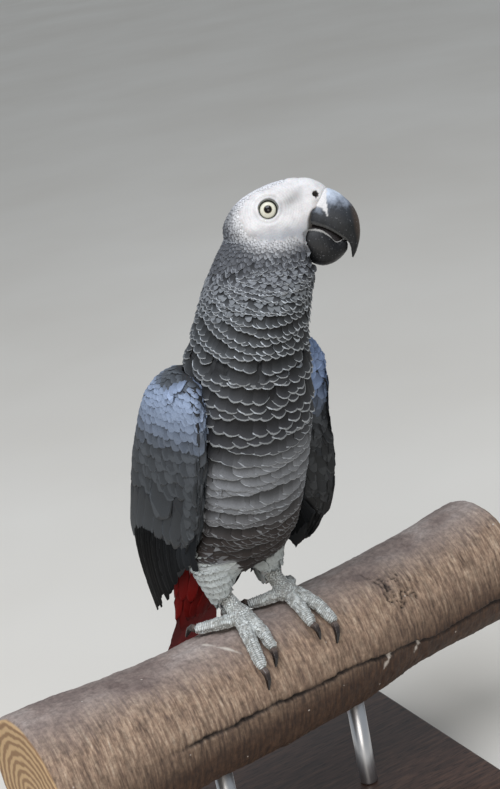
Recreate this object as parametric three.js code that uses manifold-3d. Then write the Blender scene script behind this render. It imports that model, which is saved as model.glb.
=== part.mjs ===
// A grey parrot, life size, gripping a short cut length of branch that stands on a plain display stand.
//
// Millimetres, +Z up. The origin is the middle of the stand's underside. The bird faces -Y, so its
// own left is +X. Inside the bird's group the origin is the top of the branch, midway between the feet.

import * as THREE from "three";
import { mergeVertices } from "three/addons/utils/BufferGeometryUtils.js";
import Module from "manifold-3d";

const wasm = await Module();
wasm.setup();

// ---- Driving dimensions ---------------------------------------------------------------------

const GAP = 0.32; // clearance kept between neighbouring solids
const degrees = THREE.MathUtils.degToRad;

// Stand and branch
const BASE_SIZE = new THREE.Vector3(210, 160, 16);
const BASE_CORNER = 14;
const BASE_EDGE = 2;
const ROD_RADIUS = 5;
const ROD_SPACING = 90;
const BRANCH_RADIUS = 36.8;
const BRANCH_LENGTH = 300;
const BRANCH_TURN = degrees(6);
const BRANCH_BOW = 2.1; // how far the branch has risen 100 mm from its middle
const BRANCH_TAPER = 0.03; // share of the radius lost over 100 mm towards the bird's left
const BRANCH_AXIS = new THREE.Vector3(0, -3, -1.5 - BRANCH_RADIUS); // its middle, in the bird's frame
const PERCH_TOP = new THREE.Vector3(0, -12, 147);

// Pose
const TRUNK_TURN = degrees(12); // the trunk faces a little to its left
const HEAD_AT = new THREE.Vector3(40.8, -12.4, 205.7); // between the eyes
const HEAD_TURN = degrees(58.6);
const HEAD_PITCH = degrees(-2.9); // bill slightly raised
const HEAD_ROLL = degrees(18.8); // right cheek raised

// Head, measured from the middle between the eyes
const EYE_RADIUS = 6.2;
const EYE_FACE = 15.2; // from the middle of the head to the front of the eye
const BILL_CENTRE = { forward: 23, up: -13 }; // the arc of the culmen turns about this point
const CULMEN_RADIUS = 18.4;
const CULMEN_HOOK = 2.9; // how much further out the tip lies than the arc

// ---- Small tools ----------------------------------------------------------------------------

const vec = (x, y, z) => new THREE.Vector3(x, y, z);
const lerp = THREE.MathUtils.lerp;
const clamp01 = (value) => Math.min(1, Math.max(0, value));
const smooth = THREE.MathUtils.smoothstep;
const bell = (distance, reach) => Math.exp(-((distance / reach) ** 2));
const signedPower = (value, power) => Math.sign(value) * Math.abs(value) ** power;

// Smooth curve through rows of [place, value, value, ...]: returns a function place -> values.
function profile(rows) {
  return (place) => {
    let k = 0;
    while (k < rows.length - 2 && place > rows[k + 1][0]) k += 1;
    const before = rows[Math.max(k - 1, 0)];
    const a = rows[k];
    const b = rows[k + 1];
    const after = rows[Math.min(k + 2, rows.length - 1)];
    const span = b[0] - a[0];
    const t = clamp01((place - a[0]) / span);
    return a.slice(1).map((start, i) => {
      const end = b[i + 1];
      const slopeA = before === a ? end - start : ((end - before[i + 1]) / (b[0] - before[0])) * span;
      const slopeB = after === b ? end - start : ((after[i + 1] - start) / (after[0] - a[0])) * span;
      const t2 = t * t;
      const t3 = t2 * t;
      return (2 * t3 - 3 * t2 + 1) * start + (t3 - 2 * t2 + t) * slopeA
        + (3 * t2 - 2 * t3) * end + (t3 - t2) * slopeB;
    });
  };
}

function signedVolume(geometry) {
  const place = geometry.getAttribute("position");
  const index = geometry.getIndex();
  const corner = [vec(), vec(), vec()];
  let total = 0;
  for (let i = 0; i < index.count; i += 3) {
    corner.forEach((point, k) => point.fromBufferAttribute(place, index.getX(i + k)));
    total += corner[0].dot(corner[1].clone().cross(corner[2])) / 6;
  }
  return total;
}

// Closed solid through a row of rings, each a list of the same number of points.
function loft(rings) {
  const count = rings[0].length;
  const positions = [];
  const triangles = [];
  for (const ring of rings) for (const point of ring) positions.push(point.x, point.y, point.z);
  for (let k = 0; k < rings.length - 1; k += 1) {
    for (let i = 0; i < count; i += 1) {
      const a = k * count + i;
      const b = k * count + ((i + 1) % count);
      triangles.push(a, b, a + count, b, b + count, a + count);
    }
  }
  for (const last of [false, true]) {
    const ring = last ? rings[rings.length - 1] : rings[0];
    const start = last ? (rings.length - 1) * count : 0;
    const middle = ring.reduce((sum, point) => sum.add(point), vec(0, 0, 0)).divideScalar(count);
    const centre = positions.length / 3;
    positions.push(middle.x, middle.y, middle.z);
    for (let i = 0; i < count; i += 1) {
      const next = start + ((i + 1) % count);
      if (last) triangles.push(start + i, next, centre);
      else triangles.push(next, start + i, centre);
    }
  }
  const geometry = new THREE.BufferGeometry();
  geometry.setAttribute("position", new THREE.Float32BufferAttribute(positions, 3));
  geometry.setIndex(triangles);
  return facedOut(geometry);
}

function facedOut(geometry) {
  if (signedVolume(geometry) > 0) return geometry;
  const index = geometry.getIndex();
  for (let i = 0; i < index.count; i += 3) {
    const first = index.getX(i);
    index.setX(i, index.getX(i + 1));
    index.setX(i + 1, first);
  }
  return geometry;
}

// Only the positions, with shared corners merged.
function welded(geometry) {
  const bare = geometry.clone();
  for (const name of Object.keys(bare.attributes)) if (name !== "position") bare.deleteAttribute(name);
  return mergeVertices(bare, 1e-4);
}

// The same shape, larger by a distance on every face.
function swollen(geometry, distance) {
  const shape = welded(geometry);
  const place = shape.getAttribute("position");
  const index = shape.getIndex();
  const sums = Array.from({ length: place.count }, () => vec(0, 0, 0));
  const faces = Array.from({ length: place.count }, () => []);
  const corner = [vec(), vec(), vec()];
  for (let i = 0; i < index.count; i += 3) {
    corner.forEach((point, k) => point.fromBufferAttribute(place, index.getX(i + k)));
    const normal = corner[1].clone().sub(corner[0]).cross(corner[2].clone().sub(corner[0]));
    const unit = normal.clone().normalize();
    for (let k = 0; k < 3; k += 1) {
      sums[index.getX(i + k)].add(normal);
      faces[index.getX(i + k)].push(unit);
    }
  }
  for (let v = 0; v < place.count; v += 1) {
    const way = sums[v].normalize();
    const least = faces[v].reduce((low, unit) => Math.min(low, unit.dot(way)), 1);
    const step = distance / Math.max(least, 0.5);
    place.setXYZ(v, place.getX(v) + way.x * step, place.getY(v) + way.y * step, place.getZ(v) + way.z * step);
  }
  return shape;
}

function solid(geometry) {
  const shape = welded(geometry);
  return new wasm.Manifold(new wasm.Mesh({
    numProp: 3,
    vertProperties: new Float32Array(shape.getAttribute("position").array),
    triVerts: new Uint32Array(shape.getIndex().array),
  }));
}

const clearanceOf = (geometry) => solid(geometry).add(solid(swollen(geometry, GAP)));

function joined(geometries) {
  return geometries.map(solid).reduce((all, next) => all.add(next));
}

function without(body, ...cutters) {
  return cutters.reduce((rest, cutter) => rest.subtract(cutter), body);
}

// The largest connected part, so that no crumb is left by a cut. Rounding to 32 bits can part a
// neck that is thinner than the rounding, so it is taken before and after.
function largest(body) {
  const biggest = (whole) => whole.decompose()
    .reduce((best, next) => (next.volume() > best.volume() ? next : best));
  return biggest(solid(geometryOf(biggest(body))));
}

function geometryOf(body) {
  const mesh = body.getMesh();
  const stride = mesh.numProp;
  const positions = [];
  for (let i = 0; i < mesh.vertProperties.length; i += stride) {
    positions.push(mesh.vertProperties[i], mesh.vertProperties[i + 1], mesh.vertProperties[i + 2]);
  }
  const geometry = new THREE.BufferGeometry();
  geometry.setAttribute("position", new THREE.Float32BufferAttribute(positions, 3));
  geometry.setIndex(Array.from(mesh.triVerts));
  return geometry;
}

// Everything on the side of a plane that its normal points to, half a gap away from it.
function beyond(point, normal, margin = GAP / 2) {
  const size = 900;
  const block = new THREE.BoxGeometry(size, size, size);
  block.translate(0, 0, size / 2 + margin);
  block.applyQuaternion(new THREE.Quaternion().setFromUnitVectors(vec(0, 0, 1), normal.clone().normalize()));
  block.translate(point.x, point.y, point.z);
  return solid(block);
}

function cut(body, regions) {
  return largest(regions.reduce((rest, [point, normal]) => rest.intersect(beyond(point, normal)), body));
}

// A round tube along points, with its own radius at each.
function limb(points, radii, sides, steps) {
  const path = new THREE.CatmullRomCurve3(points);
  const frames = path.computeFrenetFrames(steps, false);
  const rings = [];
  for (let k = 0; k <= steps; k += 1) {
    const along = k / steps;
    const middle = path.getPoint(along);
    const place = along * (radii.length - 1);
    const low = Math.min(Math.floor(place), radii.length - 2);
    const radius = lerp(radii[low], radii[low + 1], place - low);
    rings.push(Array.from({ length: sides }, (_, i) => {
      const angle = (i / sides) * Math.PI * 2;
      return middle.clone()
        .addScaledVector(frames.normals[k], Math.cos(angle) * radius)
        .addScaledVector(frames.binormals[k], Math.sin(angle) * radius);
    }));
  }
  return loft(rings);
}

// A sheet of overlapping feathers with a rounded finger for each tip. The tips are [across, along],
// the roots are the sheet's other edge, and lay(across, along, height) bends it into place.
function featherSheet(roots, tips, width, notch, thickness, lay) {
  const outline = new THREE.Shape();
  const corners = [...roots];
  tips.forEach(([across, along], k) => {
    corners.push([across - width / 2, along - width * 0.55], [across, along],
      [across + width / 2, along - width * 0.55]);
    if (k < tips.length - 1) {
      const [nextAcross, nextAlong] = tips[k + 1];
      corners.push([(across + nextAcross) / 2, (along + nextAlong) / 2 - notch]);
    }
  });
  outline.setFromPoints(corners.map(([across, along]) => new THREE.Vector2(across, along)));
  const sheet = new THREE.ExtrudeGeometry(outline, { depth: thickness, bevelEnabled: false });
  const place = sheet.getAttribute("position");
  for (let v = 0; v < place.count; v += 1) {
    const point = lay(place.getX(v), place.getY(v), place.getZ(v) - thickness / 2);
    place.setXYZ(v, point.x, point.y, point.z);
  }
  return facedOut(welded(sheet));
}

// ---- Frames ---------------------------------------------------------------------------------

const trunkFrame = new THREE.Matrix4().makeRotationZ(TRUNK_TURN);
const inTrunk = (left, back, up) => vec(left, back, up).applyMatrix4(trunkFrame);

const headFrame = new THREE.Matrix4()
  .makeRotationFromEuler(new THREE.Euler(HEAD_PITCH, HEAD_ROLL, HEAD_TURN, "ZXY"))
  .setPosition(HEAD_AT);
const inHead = (left, forward, up) => vec(left, -forward, up).applyMatrix4(headFrame);
const headWay = (left, forward, up) => vec(left, -forward, up).transformDirection(headFrame);

const branchFrame = new THREE.Matrix4().makeRotationZ(BRANCH_TURN).setPosition(BRANCH_AXIS);
// A point round the branch: along its axis, by angle forward from the top, at a distance from the axis
const onBranch = (along, angle, distance) => vec(
  along, -Math.sin(angle) * distance, Math.cos(angle) * distance + BRANCH_BOW * (along / 100) ** 2,
).applyMatrix4(branchFrame);

// ---- Branch and stand -----------------------------------------------------------------------

const KNOT = { along: 60, angle: degrees(18), reach: 17 };

// The wood swells and sinks along the branch; it is even where the feet grip it.
function barkRadius(along, angle) {
  const grip = bell(along, 45);
  const waves = 1.3 * Math.sin(along * 0.045 + 0.8) + 0.9 * Math.sin(2 * angle + along * 0.02)
    + 0.6 * Math.sin(3 * angle - along * 0.05 + 1);
  const fromKnot = Math.hypot(along - KNOT.along, (angle - KNOT.angle) * BRANCH_RADIUS);
  const knot = 3.2 * bell(fromKnot, KNOT.reach) - 2.4 * bell(fromKnot, KNOT.reach * 0.4);
  return BRANCH_RADIUS * (1 - BRANCH_TAPER * (along / 100)) + waves * (1 - grip) + knot;
}

function branchShape() {
  const sides = 26;
  const steps = 10;
  const rings = [];
  for (let k = 0; k <= steps; k += 1) {
    const along = (k / steps - 0.5) * BRANCH_LENGTH;
    rings.push(Array.from({ length: sides }, (_, i) => {
      const angle = (i / sides) * Math.PI * 2;
      return onBranch(along, angle, barkRadius(along, angle));
    }));
  }
  return loft(rings);
}

function baseShape() {
  const outline = new THREE.Shape();
  const x = BASE_SIZE.x / 2;
  const y = BASE_SIZE.y / 2;
  const corners = [[x, y, 0], [-x, y, 90], [-x, -y, 180], [x, -y, 270]];
  for (const [cornerX, cornerY, start] of corners) {
    const middleX = cornerX - Math.sign(cornerX) * BASE_CORNER;
    const middleY = cornerY - Math.sign(cornerY) * BASE_CORNER;
    outline.absarc(middleX, middleY, BASE_CORNER - BASE_EDGE, degrees(start), degrees(start + 90), false);
  }
  return new THREE.ExtrudeGeometry(outline, {
    depth: BASE_SIZE.z - 2 * BASE_EDGE,
    bevelEnabled: true,
    bevelThickness: BASE_EDGE,
    bevelSize: BASE_EDGE,
    bevelOffset: 0,
    bevelSegments: 1,
    curveSegments: 3,
  }).translate(0, 0, BASE_EDGE);
}

// In the bird's frame, from the base up into the branch; the branch then trims it.
function rodShape(side) {
  const bottom = -PERCH_TOP.z + BASE_SIZE.z + GAP;
  const middle = BRANCH_AXIS;
  const reach = (side * ROD_SPACING) / 2;
  return new THREE.CylinderGeometry(ROD_RADIUS, ROD_RADIUS, middle.z - bottom, 20)
    .rotateX(Math.PI / 2)
    .translate(reach, middle.y + reach * Math.tan(BRANCH_TURN), (middle.z + bottom) / 2);
}

// ---- Trunk, neck and head -------------------------------------------------------------------

// Height: middle (left, back), half width, depth in front and behind, turn in degrees
const bodyAt = profile([
  [13, 2, 30, 9, 10, 12, 12],
  [20, 3, 23, 22, 22, 26, 12],
  [34, 4.5, 15, 30, 29, 42, 12],
  [52, 5, 10, 33.5, 33, 49, 12],
  [75, 6.8, 4.6, 35.5, 35.5, 51, 12],
  [103, 9.6, -2.6, 35.5, 35.5, 48, 12],
  [125, 12, -7.7, 34, 33.5, 38, 14],
  [144, 13.5, -12.7, 30, 31, 32, 20],
  [166, 18.6, -19, 26, 29, 29.5, 34],
  [182, 24.5, -23, 20, 27, 28.5, 50],
  [196, 31, -23, 15, 21, 23, 58],
]);

function bodyRing(height, sides) {
  const [left, back, half, front, behind, turn] = bodyAt(height);
  const spin = degrees(turn) - TRUNK_TURN;
  return Array.from({ length: sides }, (_, i) => {
    const angle = (i / sides) * Math.PI * 2;
    const power = 2 / 2.1;
    const across = half * signedPower(Math.cos(angle), power);
    const deep = Math.sin(angle) < 0 ? front : behind;
    const along = deep * signedPower(Math.sin(angle), power);
    return inTrunk(
      left + across * Math.cos(spin) - along * Math.sin(spin),
      back + across * Math.sin(spin) + along * Math.cos(spin),
      height,
    );
  });
}

function bodyShape() {
  const heights = [13, 18, 27, 40, 56, 76, 98, 118, 134, 148, 163, 177, 189, 196];
  return loft(heights.map((height) => bodyRing(height, 18)));
}

// Forward: top, bottom, half width
const headAt = profile([
  [-25, -3, -11, 4],
  [-22, 2.2, -18, 9],
  [-17, 7, -23, 13],
  [-10, 10.8, -26.5, 15.8],
  [-2, 13.2, -28.5, 16.6],
  [6, 14.5, -29.5, 16],
  [12, 14.4, -29, 14.2],
  [16, 13.8, -21, 12.8],
  [20, 12.6, -12, 11.4],
  [25, 9.7, -8, 8.8],
  [29, 5.5, -3, 5],
]);

function headShape() {
  const sides = 16;
  const stations = [-25, -22.5, -18, -12, -5, 2, 9, 13, 17, 22, 26, 29];
  return loft(stations.map((forward) => {
    const [top, bottom, half] = headAt(forward);
    return Array.from({ length: sides }, (_, i) => {
      const angle = (i / sides) * Math.PI * 2;
      const up = (top + bottom) / 2 + ((top - bottom) / 2) * signedPower(Math.sin(angle), 0.9);
      const hollow = 1 - 0.15 * bell(Math.hypot(forward, up - 0.5), 8);
      return inHead(half * hollow * signedPower(Math.cos(angle), 0.9), forward, up);
    });
  }));
}

function eyeShape(side) {
  const eye = new THREE.SphereGeometry(EYE_RADIUS, 10, 7);
  const at = inHead(side * (EYE_FACE - EYE_RADIUS), 0, 0);
  return eye.translate(at.x, at.y, at.z);
}

// A solid between two lines in the middle plane, one above the other, with a half width at each step.
function horn(upper, lower, halves, sides) {
  return loft(upper.map((top, k) => {
    const bottom = lower[k];
    return Array.from({ length: sides }, (_, i) => {
      const angle = (i / sides) * Math.PI * 2;
      const share = (1 - Math.cos(angle)) / 2;
      const out = halves[k] * signedPower(Math.sin(angle), 0.8);
      return inHead(out, lerp(top[0], bottom[0], share), lerp(top[1], bottom[1], share));
    });
  }));
}

function culmen(angle) {
  const hook = clamp01(-angle / degrees(58)) ** 2 * CULMEN_HOOK;
  const start = clamp01((angle - degrees(40)) / degrees(30)) * 1.2;
  const radius = CULMEN_RADIUS + hook + start;
  return [BILL_CENTRE.forward + radius * Math.cos(angle), BILL_CENTRE.up + radius * Math.sin(angle)];
}

// The hooked upper half: the culmen is an arc, the cutting edge runs from the gape to the notch.
function upperBillShape() {
  const turns = [70, 55, 40, 24, 8, -8, -22, -38, -50, -56].map(degrees);
  const edge = [[16.8, -11], [20, -12.2], [23.3, -13.2], [27.6, -15.8], [31.8, -19], [33.9, -20.2],
    [34.6, -22], [34.9, -25.2], [34.6, -28], [34.4, -29.8]];
  const halves = [9.4, 9.4, 9, 8.2, 7, 5.6, 4.5, 3.2, 2, 0.9];
  return horn(turns.map(culmen), edge, halves, 12);
}

// The lower half is a scoop: its edge rises from the notch to the chisel tip inside the hook.
function lowerBillShape() {
  const edge = [[16, -13.2], [20.4, -14], [23.2, -15.6], [26, -18.6], [28.2, -21.6], [31.4, -21],
    [33.3, -21.2]];
  const keel = [[13, -24.8], [15, -28.6], [19.6, -31], [24.8, -30.8], [29.4, -28.8], [32.6, -26.2],
    [33.7, -23.6]];
  const halves = [8.2, 8.6, 8.5, 7.8, 6.2, 4.4, 3];
  return horn(edge, keel, halves, 10);
}

// ---- Tail -----------------------------------------------------------------------------------

const TAIL_ROOT = [3, 47, 16]; // left, back, up in the trunk's frame
const TAIL_SLOPE = degrees(61); // below the level
const TAIL_LENGTH = 101;
const TAIL_THICKNESS = 3;
const tailWay = inTrunk(0, Math.cos(TAIL_SLOPE), -Math.sin(TAIL_SLOPE));
const tailFace = inTrunk(0, Math.sin(TAIL_SLOPE), Math.cos(TAIL_SLOPE));
const tailSide = inTrunk(1, 0, 0);
const tailPoint = (along, side, height) => inTrunk(...TAIL_ROOT)
  .addScaledVector(tailWay, along).addScaledVector(tailSide, side).addScaledVector(tailFace, height);

function tailFeathers() {
  const tips = [];
  for (let k = -5; k <= 6; k += 1) {
    const side = k - 0.5;
    tips.push([side * 3.6, TAIL_LENGTH - 0.32 * side * side]);
  }
  const roots = [[9, 4], [-9, 4]];
  return featherSheet(roots, tips, 3.2, 3, TAIL_THICKNESS, (side, along, height) => (
    tailPoint(along, side, height - 0.008 * side * side)
  ));
}

// Tail coverts above and below, and the rump that carries them
function rumpShape() {
  // Along the tail: half width, depth above, depth below
  const rumpAt = profile([
    [-34, 24, 14, 20],
    [-16, 26, 17, 21],
    [4, 21.5, 13, 17],
    [24, 17.5, 8, 11],
    [44, 15.5, 4.6, 6.4],
    [56, 12.5, 2.8, 3.6],
    [60, 8, 2, 2.2],
  ]);
  const sides = 16;
  const stations = [-34, -24, -12, 2, 16, 30, 44, 54, 60];
  return loft(stations.map((along) => {
    const [half, above, below] = rumpAt(along);
    return Array.from({ length: sides }, (_, i) => {
      const angle = (i / sides) * Math.PI * 2;
      const deep = Math.sin(angle) > 0 ? above : below;
      return tailPoint(along, half * Math.cos(angle), deep * Math.sin(angle));
    });
  }));
}

// ---- Wings ----------------------------------------------------------------------------------

// The folded wing wraps the side and the back, and lies against the body down to the flank; below
// that it is a thin shell. Height: front edge and rear corner (back), distance
// of its side from the body's middle line, the same for its inner edge, and thickness.
const WING_BOTTOM = 8; // where the folded wing ends and only the tips of its flight feathers go on
const FLIGHT_TIPS = 7;
const wingAt = profile([
  [WING_BOTTOM, 43, 73, 29, 22, 2],
  [18, 31, 73, 33, 21, 2.6],
  [34, 14, 69, 38, 15, 3.4],
  [50, 1, 64, 41, 9, 4.2],
  [70, -9, 58, 42.2, 7, 5],
  [92, -15, 51, 42.6, 6, 5.4],
  [112, -17.5, 43, 42.2, 7, 5.4],
  [126, -16.5, 35, 41, 9, 5],
  [134, -12, 26, 38, 14, 4.2],
  [138, -4, 14, 34, 22, 3],
]);

// The left wing is held a little away from the body, further forward, and hangs more upright.
const WINGS = {
  right: { side: -1, spread: 0, forward: 0, hang: 0 },
  left: { side: 1, spread: 6.5, forward: 2.5, hang: 22 },
};
const WING_BED = 1.5; // how deep the wing is bedded in the plumage of the body's side
const hangOf = (wing, height) => wing.hang * clamp01((92 - height) / 66);
const spreadOf = (wing, height) => wing.spread + hangOf(wing, height) * 0.12;

// The point of the body's outline in the direction of (out, back), a little way in.
function bodySide(height, out, back) {
  const [, , half, front, behind] = bodyAt(height);
  const deep = back < 0 ? front : behind;
  const power = 2.1;
  const reach = (Math.abs(out / half) ** power + Math.abs(back / deep) ** power) ** (1 / power);
  const share = 1 / reach - WING_BED / Math.hypot(out, back);
  return [out * share, back * share];
}

function wingSection(wing, height) {
  const [front, rear, distance, inner, thickness] = wingAt(height);
  const [middleLeft, middleBack] = bodyAt(Math.max(height, 26));
  const side = distance + spreadOf(wing, height);
  const held = wing.spread * 0.4;
  const hang = hangOf(wing, height);
  const outline = [
    [side - 1.2, front - wing.forward - hang],
    [side, lerp(front, rear, 0.3) - wing.forward * 0.6 - hang],
    [side - 2.2, lerp(front, rear, 0.72) - hang * 0.85],
    [distance + held - 8.5, rear - hang * 0.7],
    [lerp(distance - 9, inner, 0.5) + held / 2, rear + 3.6 - hang * 0.6],
    [inner, rear + 4.2 - hang * 0.5],
  ];
  const curve = new THREE.CatmullRomCurve3(outline.map(([out, back]) => vec(out, back, 0)));
  const count = 7;
  const filled = smooth(height, 30, 52);
  const outer = [];
  const under = [];
  for (let i = 0; i <= count; i += 1) {
    const along = i / count;
    const point = curve.getPointAt(along);
    const way = curve.getTangentAt(along);
    const thick = thickness * (0.34 + 0.66 * Math.sin(Math.PI * clamp01(0.12 + along * 0.86)) ** 0.8);
    const [bodyOut, bodyBack] = bodySide(height, point.x, point.y - middleBack);
    outer.push([point.x, point.y]);
    under.push([
      lerp(point.x - way.y * thick, Math.min(bodyOut, point.x - 1.2), filled),
      lerp(point.y + way.x * thick, bodyBack + middleBack, filled),
    ]);
  }
  const ring = [...outer, ...under.reverse()];
  return ring.map(([out, back]) => inTrunk(middleLeft + wing.side * out, back, height));
}

function wingShell(wing) {
  const heights = [WING_BOTTOM, 20, 34, 50, 70, 92, 110, 124, 133, 138];
  return loft(heights.map((height) => wingSection(wing, height)));
}

// Distance from the body's middle line to the middle of the wing's thickness
function wingDistance(wing, height, back) {
  const [front, rear, , , thickness] = wingAt(height);
  const share = clamp01((back - front) / (rear - front));
  const [distance] = wingAt(height).slice(2);
  const side = distance + spreadOf(wing, height);
  const corner = distance + wing.spread * 0.4 - 8.5;
  return lerp(side, corner, share ** 3) - thickness * 0.45;
}

// The tips of the flight feathers hang below the shell, reaching to the primaries at the back.
function flightTips(wing) {
  const tips = [];
  for (let k = 0; k < FLIGHT_TIPS; k += 1) {
    const share = k / (FLIGHT_TIPS - 1);
    tips.push([lerp(27, 79, share ** 0.85), -lerp(24, -19, share)]);
  }
  const roots = [[64, -40], [24, -42]];
  return featherSheet(roots, tips, 6.5, 4, 1.5, (back, down, height) => {
    const up = -down;
    const shellHeight = Math.max(up, WING_BOTTOM + 3);
    const inward = (shellHeight - up) * 0.16;
    const [middleLeft] = bodyAt(Math.max(shellHeight, 26));
    const out = wingDistance(wing, shellHeight, back) - inward + height;
    return inTrunk(middleLeft + wing.side * out, back - hangOf(wing, up) * 0.8, up);
  });
}

// ---- Legs and feet --------------------------------------------------------------------------

// Each foot: where it stands on the branch, the thigh's path in the trunk's frame, and four toes as
// [along, angle forward] on the branch, ending with the tip of the claw. Toes 1 and 4 point back.
const FEET = {
  right: {
    middle: [-17, 3],
    thigh: [[-19, 20, 56], [-21.5, 10, 42], [-20.5, 7, 26], [-18.6, 8, 12], [-17.6, 7.5, 5]],
    thighRadii: [13, 13.5, 10.5, 7, 5.2],
    toes: [
      [[-15, -7], [-11.5, -22], [-9.5, -36], [-8.5, -51]],
      [[-15, 10], [-15.2, 25], [-16, 39], [-19, 54]],
      [[-19.5, 10], [-23.9, 28], [-26.8, 48], [-28.2, 67]],
      [[-21.8, 3], [-29.5, -3], [-36, -12], [-40, -28]],
    ],
  },
  left: {
    middle: [14.3, 0],
    thigh: [[18, 18, 48], [16, 9, 34], [15.5, 7, 20], [15.2, 8, 9], [14.8, 7.5, 4.5]],
    thighRadii: [13.5, 13, 9.6, 6.6, 5.2],
    toes: [
      [[10, -3], [3.5, -5], [-2.5, -11], [-7, -25]],
      [[12.8, 10], [12, 23], [11, 36], [11.5, 51]],
      [[17, 8], [20.5, 24], [22.3, 42], [19.1, 60]],
      [[18, -6], [25, -16], [30, -29], [33, -45]],
    ],
  },
};
const FOOT_GAP = GAP + 0.25; // the branch's flats lie a little inside its round, and rise between rings
const TOE_RADII = [[3.6, 3.2, 2.9], [3.9, 3.5, 3], [4.1, 3.6, 3.1], [3.9, 3.4, 3]];
const CLAW_RADII = [2.3, 1.9, 1.3, 0.5];
const CLAW_START = 0.22; // share of the way from the toe's last joint to the claw's tip

// The last point of each toe is the tip of its claw; the toe itself ends at the third.
function toeShape([a, b, c], radii) {
  const rows = [a, b, c];
  const points = rows.map(([along, angle], k) => {
    const turn = degrees(angle);
    return onBranch(along, turn, barkRadius(along, turn) + radii[k] + FOOT_GAP);
  });
  const path = new THREE.CatmullRomCurve3(points);
  const end = path.getPoint(1).addScaledVector(path.getTangent(1), radii[2] * 0.75);
  return limb([...points, end], [...radii, radii[2] * 0.62], 7, 5);
}

function clawShape([, , c, d], radius) {
  const lifts = [radius + 0.2, radius + 1.4, 2.6, CLAW_RADII[3]];
  const points = lifts.map((lift, k) => {
    const share = lerp(CLAW_START, 1, k / 3);
    const along = lerp(c[0], d[0], share);
    const turn = degrees(lerp(c[1], d[1], share));
    return onBranch(along, turn, barkRadius(along, turn) + FOOT_GAP + lift);
  });
  return limb(points, CLAW_RADII, 6, 4);
}

function shankShape(foot) {
  const [along, angle] = foot.middle;
  const turn = degrees(angle);
  const sole = onBranch(along, turn, BRANCH_RADIUS + 5.4 + GAP);
  const heel = inTrunk(...foot.thigh[4]).add(vec(0, 4, 10));
  const ankle = sole.clone().lerp(heel, 0.35);
  return limb([heel, ankle, sole], [4.2, 4.4, 5.2], 7, 3);
}

function soleShape(foot) {
  const [along, angle] = foot.middle;
  const turn = degrees(angle);
  const pad = new THREE.SphereGeometry(1, 8, 5).scale(7.4, 7.6, 5).rotateX(turn);
  const at = onBranch(along, turn, BRANCH_RADIUS + 5 + GAP);
  return pad.translate(at.x, at.y, at.z);
}

// ---- Assembly -------------------------------------------------------------------------------

const material = (color, roughness, metalness = 0) => (
  new THREE.MeshStandardMaterial({ color, roughness, metalness })
);
const COLOURS = {
  face: material(0xe2e0de, 0.8),
  plumage: material(0x7b7f85, 0.85),
  flight: material(0x2a2b2d, 0.7),
  tail: material(0xa32622, 0.75),
  thigh: material(0xb4b7b8, 0.85),
  foot: material(0xb9bdc0, 0.7),
  claw: material(0x2f2926, 0.35),
  bill: material(0x2d2e31, 0.35),
  eye: material(0xe9e8cf, 0.1),
  wood: material(0x8b7263, 0.9),
  base: material(0x3a2f28, 0.5),
  rod: material(0x9a9ca0, 0.35, 1),
};

const bird = new THREE.Group();
bird.position.copy(PERCH_TOP);

function place(name, shape, finish) {
  const geometry = shape.isBufferGeometry ? shape : geometryOf(shape);
  const mesh = new THREE.Mesh(geometry, finish);
  mesh.name = name;
  bird.add(mesh);
}

// Branch and rods
const branch = branchShape();
place("perch", branch, COLOURS.wood);
for (const [name, side] of [["stand_rod_right", -1], ["stand_rod_left", 1]]) {
  place(name, largest(without(solid(rodShape(side)), clearanceOf(branch))), COLOURS.rod);
}

// Bill and eyes
const upperBill = upperBillShape();
const lowerBill = lowerBillShape();
const eyes = { right: eyeShape(-1), left: eyeShape(1) };
place("bill_upper", upperBill, COLOURS.bill);
place("bill_lower", largest(without(solid(lowerBill), clearanceOf(upperBill))), COLOURS.bill);
place("eye_right", eyes.right, COLOURS.eye);
place("eye_left", eyes.left, COLOURS.eye);

// Feet
const limbCutters = [];
const thighs = {};
for (const [name, foot] of Object.entries(FEET)) {
  const shank = shankShape(foot);
  const sole = soleShape(foot);
  const thigh = limb(foot.thigh.map((at) => inTrunk(...at)), foot.thighRadii, 10, 5);
  const shankBody = joined([shank, sole]);
  const shankRoom = clearanceOf(shank).add(clearanceOf(sole));
  place(`leg_${name}_shank`, largest(without(shankBody, clearanceOf(branch))), COLOURS.foot);
  limbCutters.push(clearanceOf(thigh), shankRoom);
  const placed = [];
  foot.toes.forEach((rows, k) => {
    const toe = toeShape(rows, TOE_RADII[k]);
    const claw = clawShape(rows, TOE_RADII[k][2]);
    const toeRoom = clearanceOf(toe);
    place(`foot_${name}_toe_${k + 1}`, largest(without(solid(toe), shankRoom, ...placed)), COLOURS.foot);
    place(`foot_${name}_claw_${k + 1}`, largest(without(solid(claw), toeRoom)), COLOURS.claw);
    placed.push(toeRoom);
  });
  thighs[name] = without(solid(thigh), shankRoom, clearanceOf(branch), ...placed);
}

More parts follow.
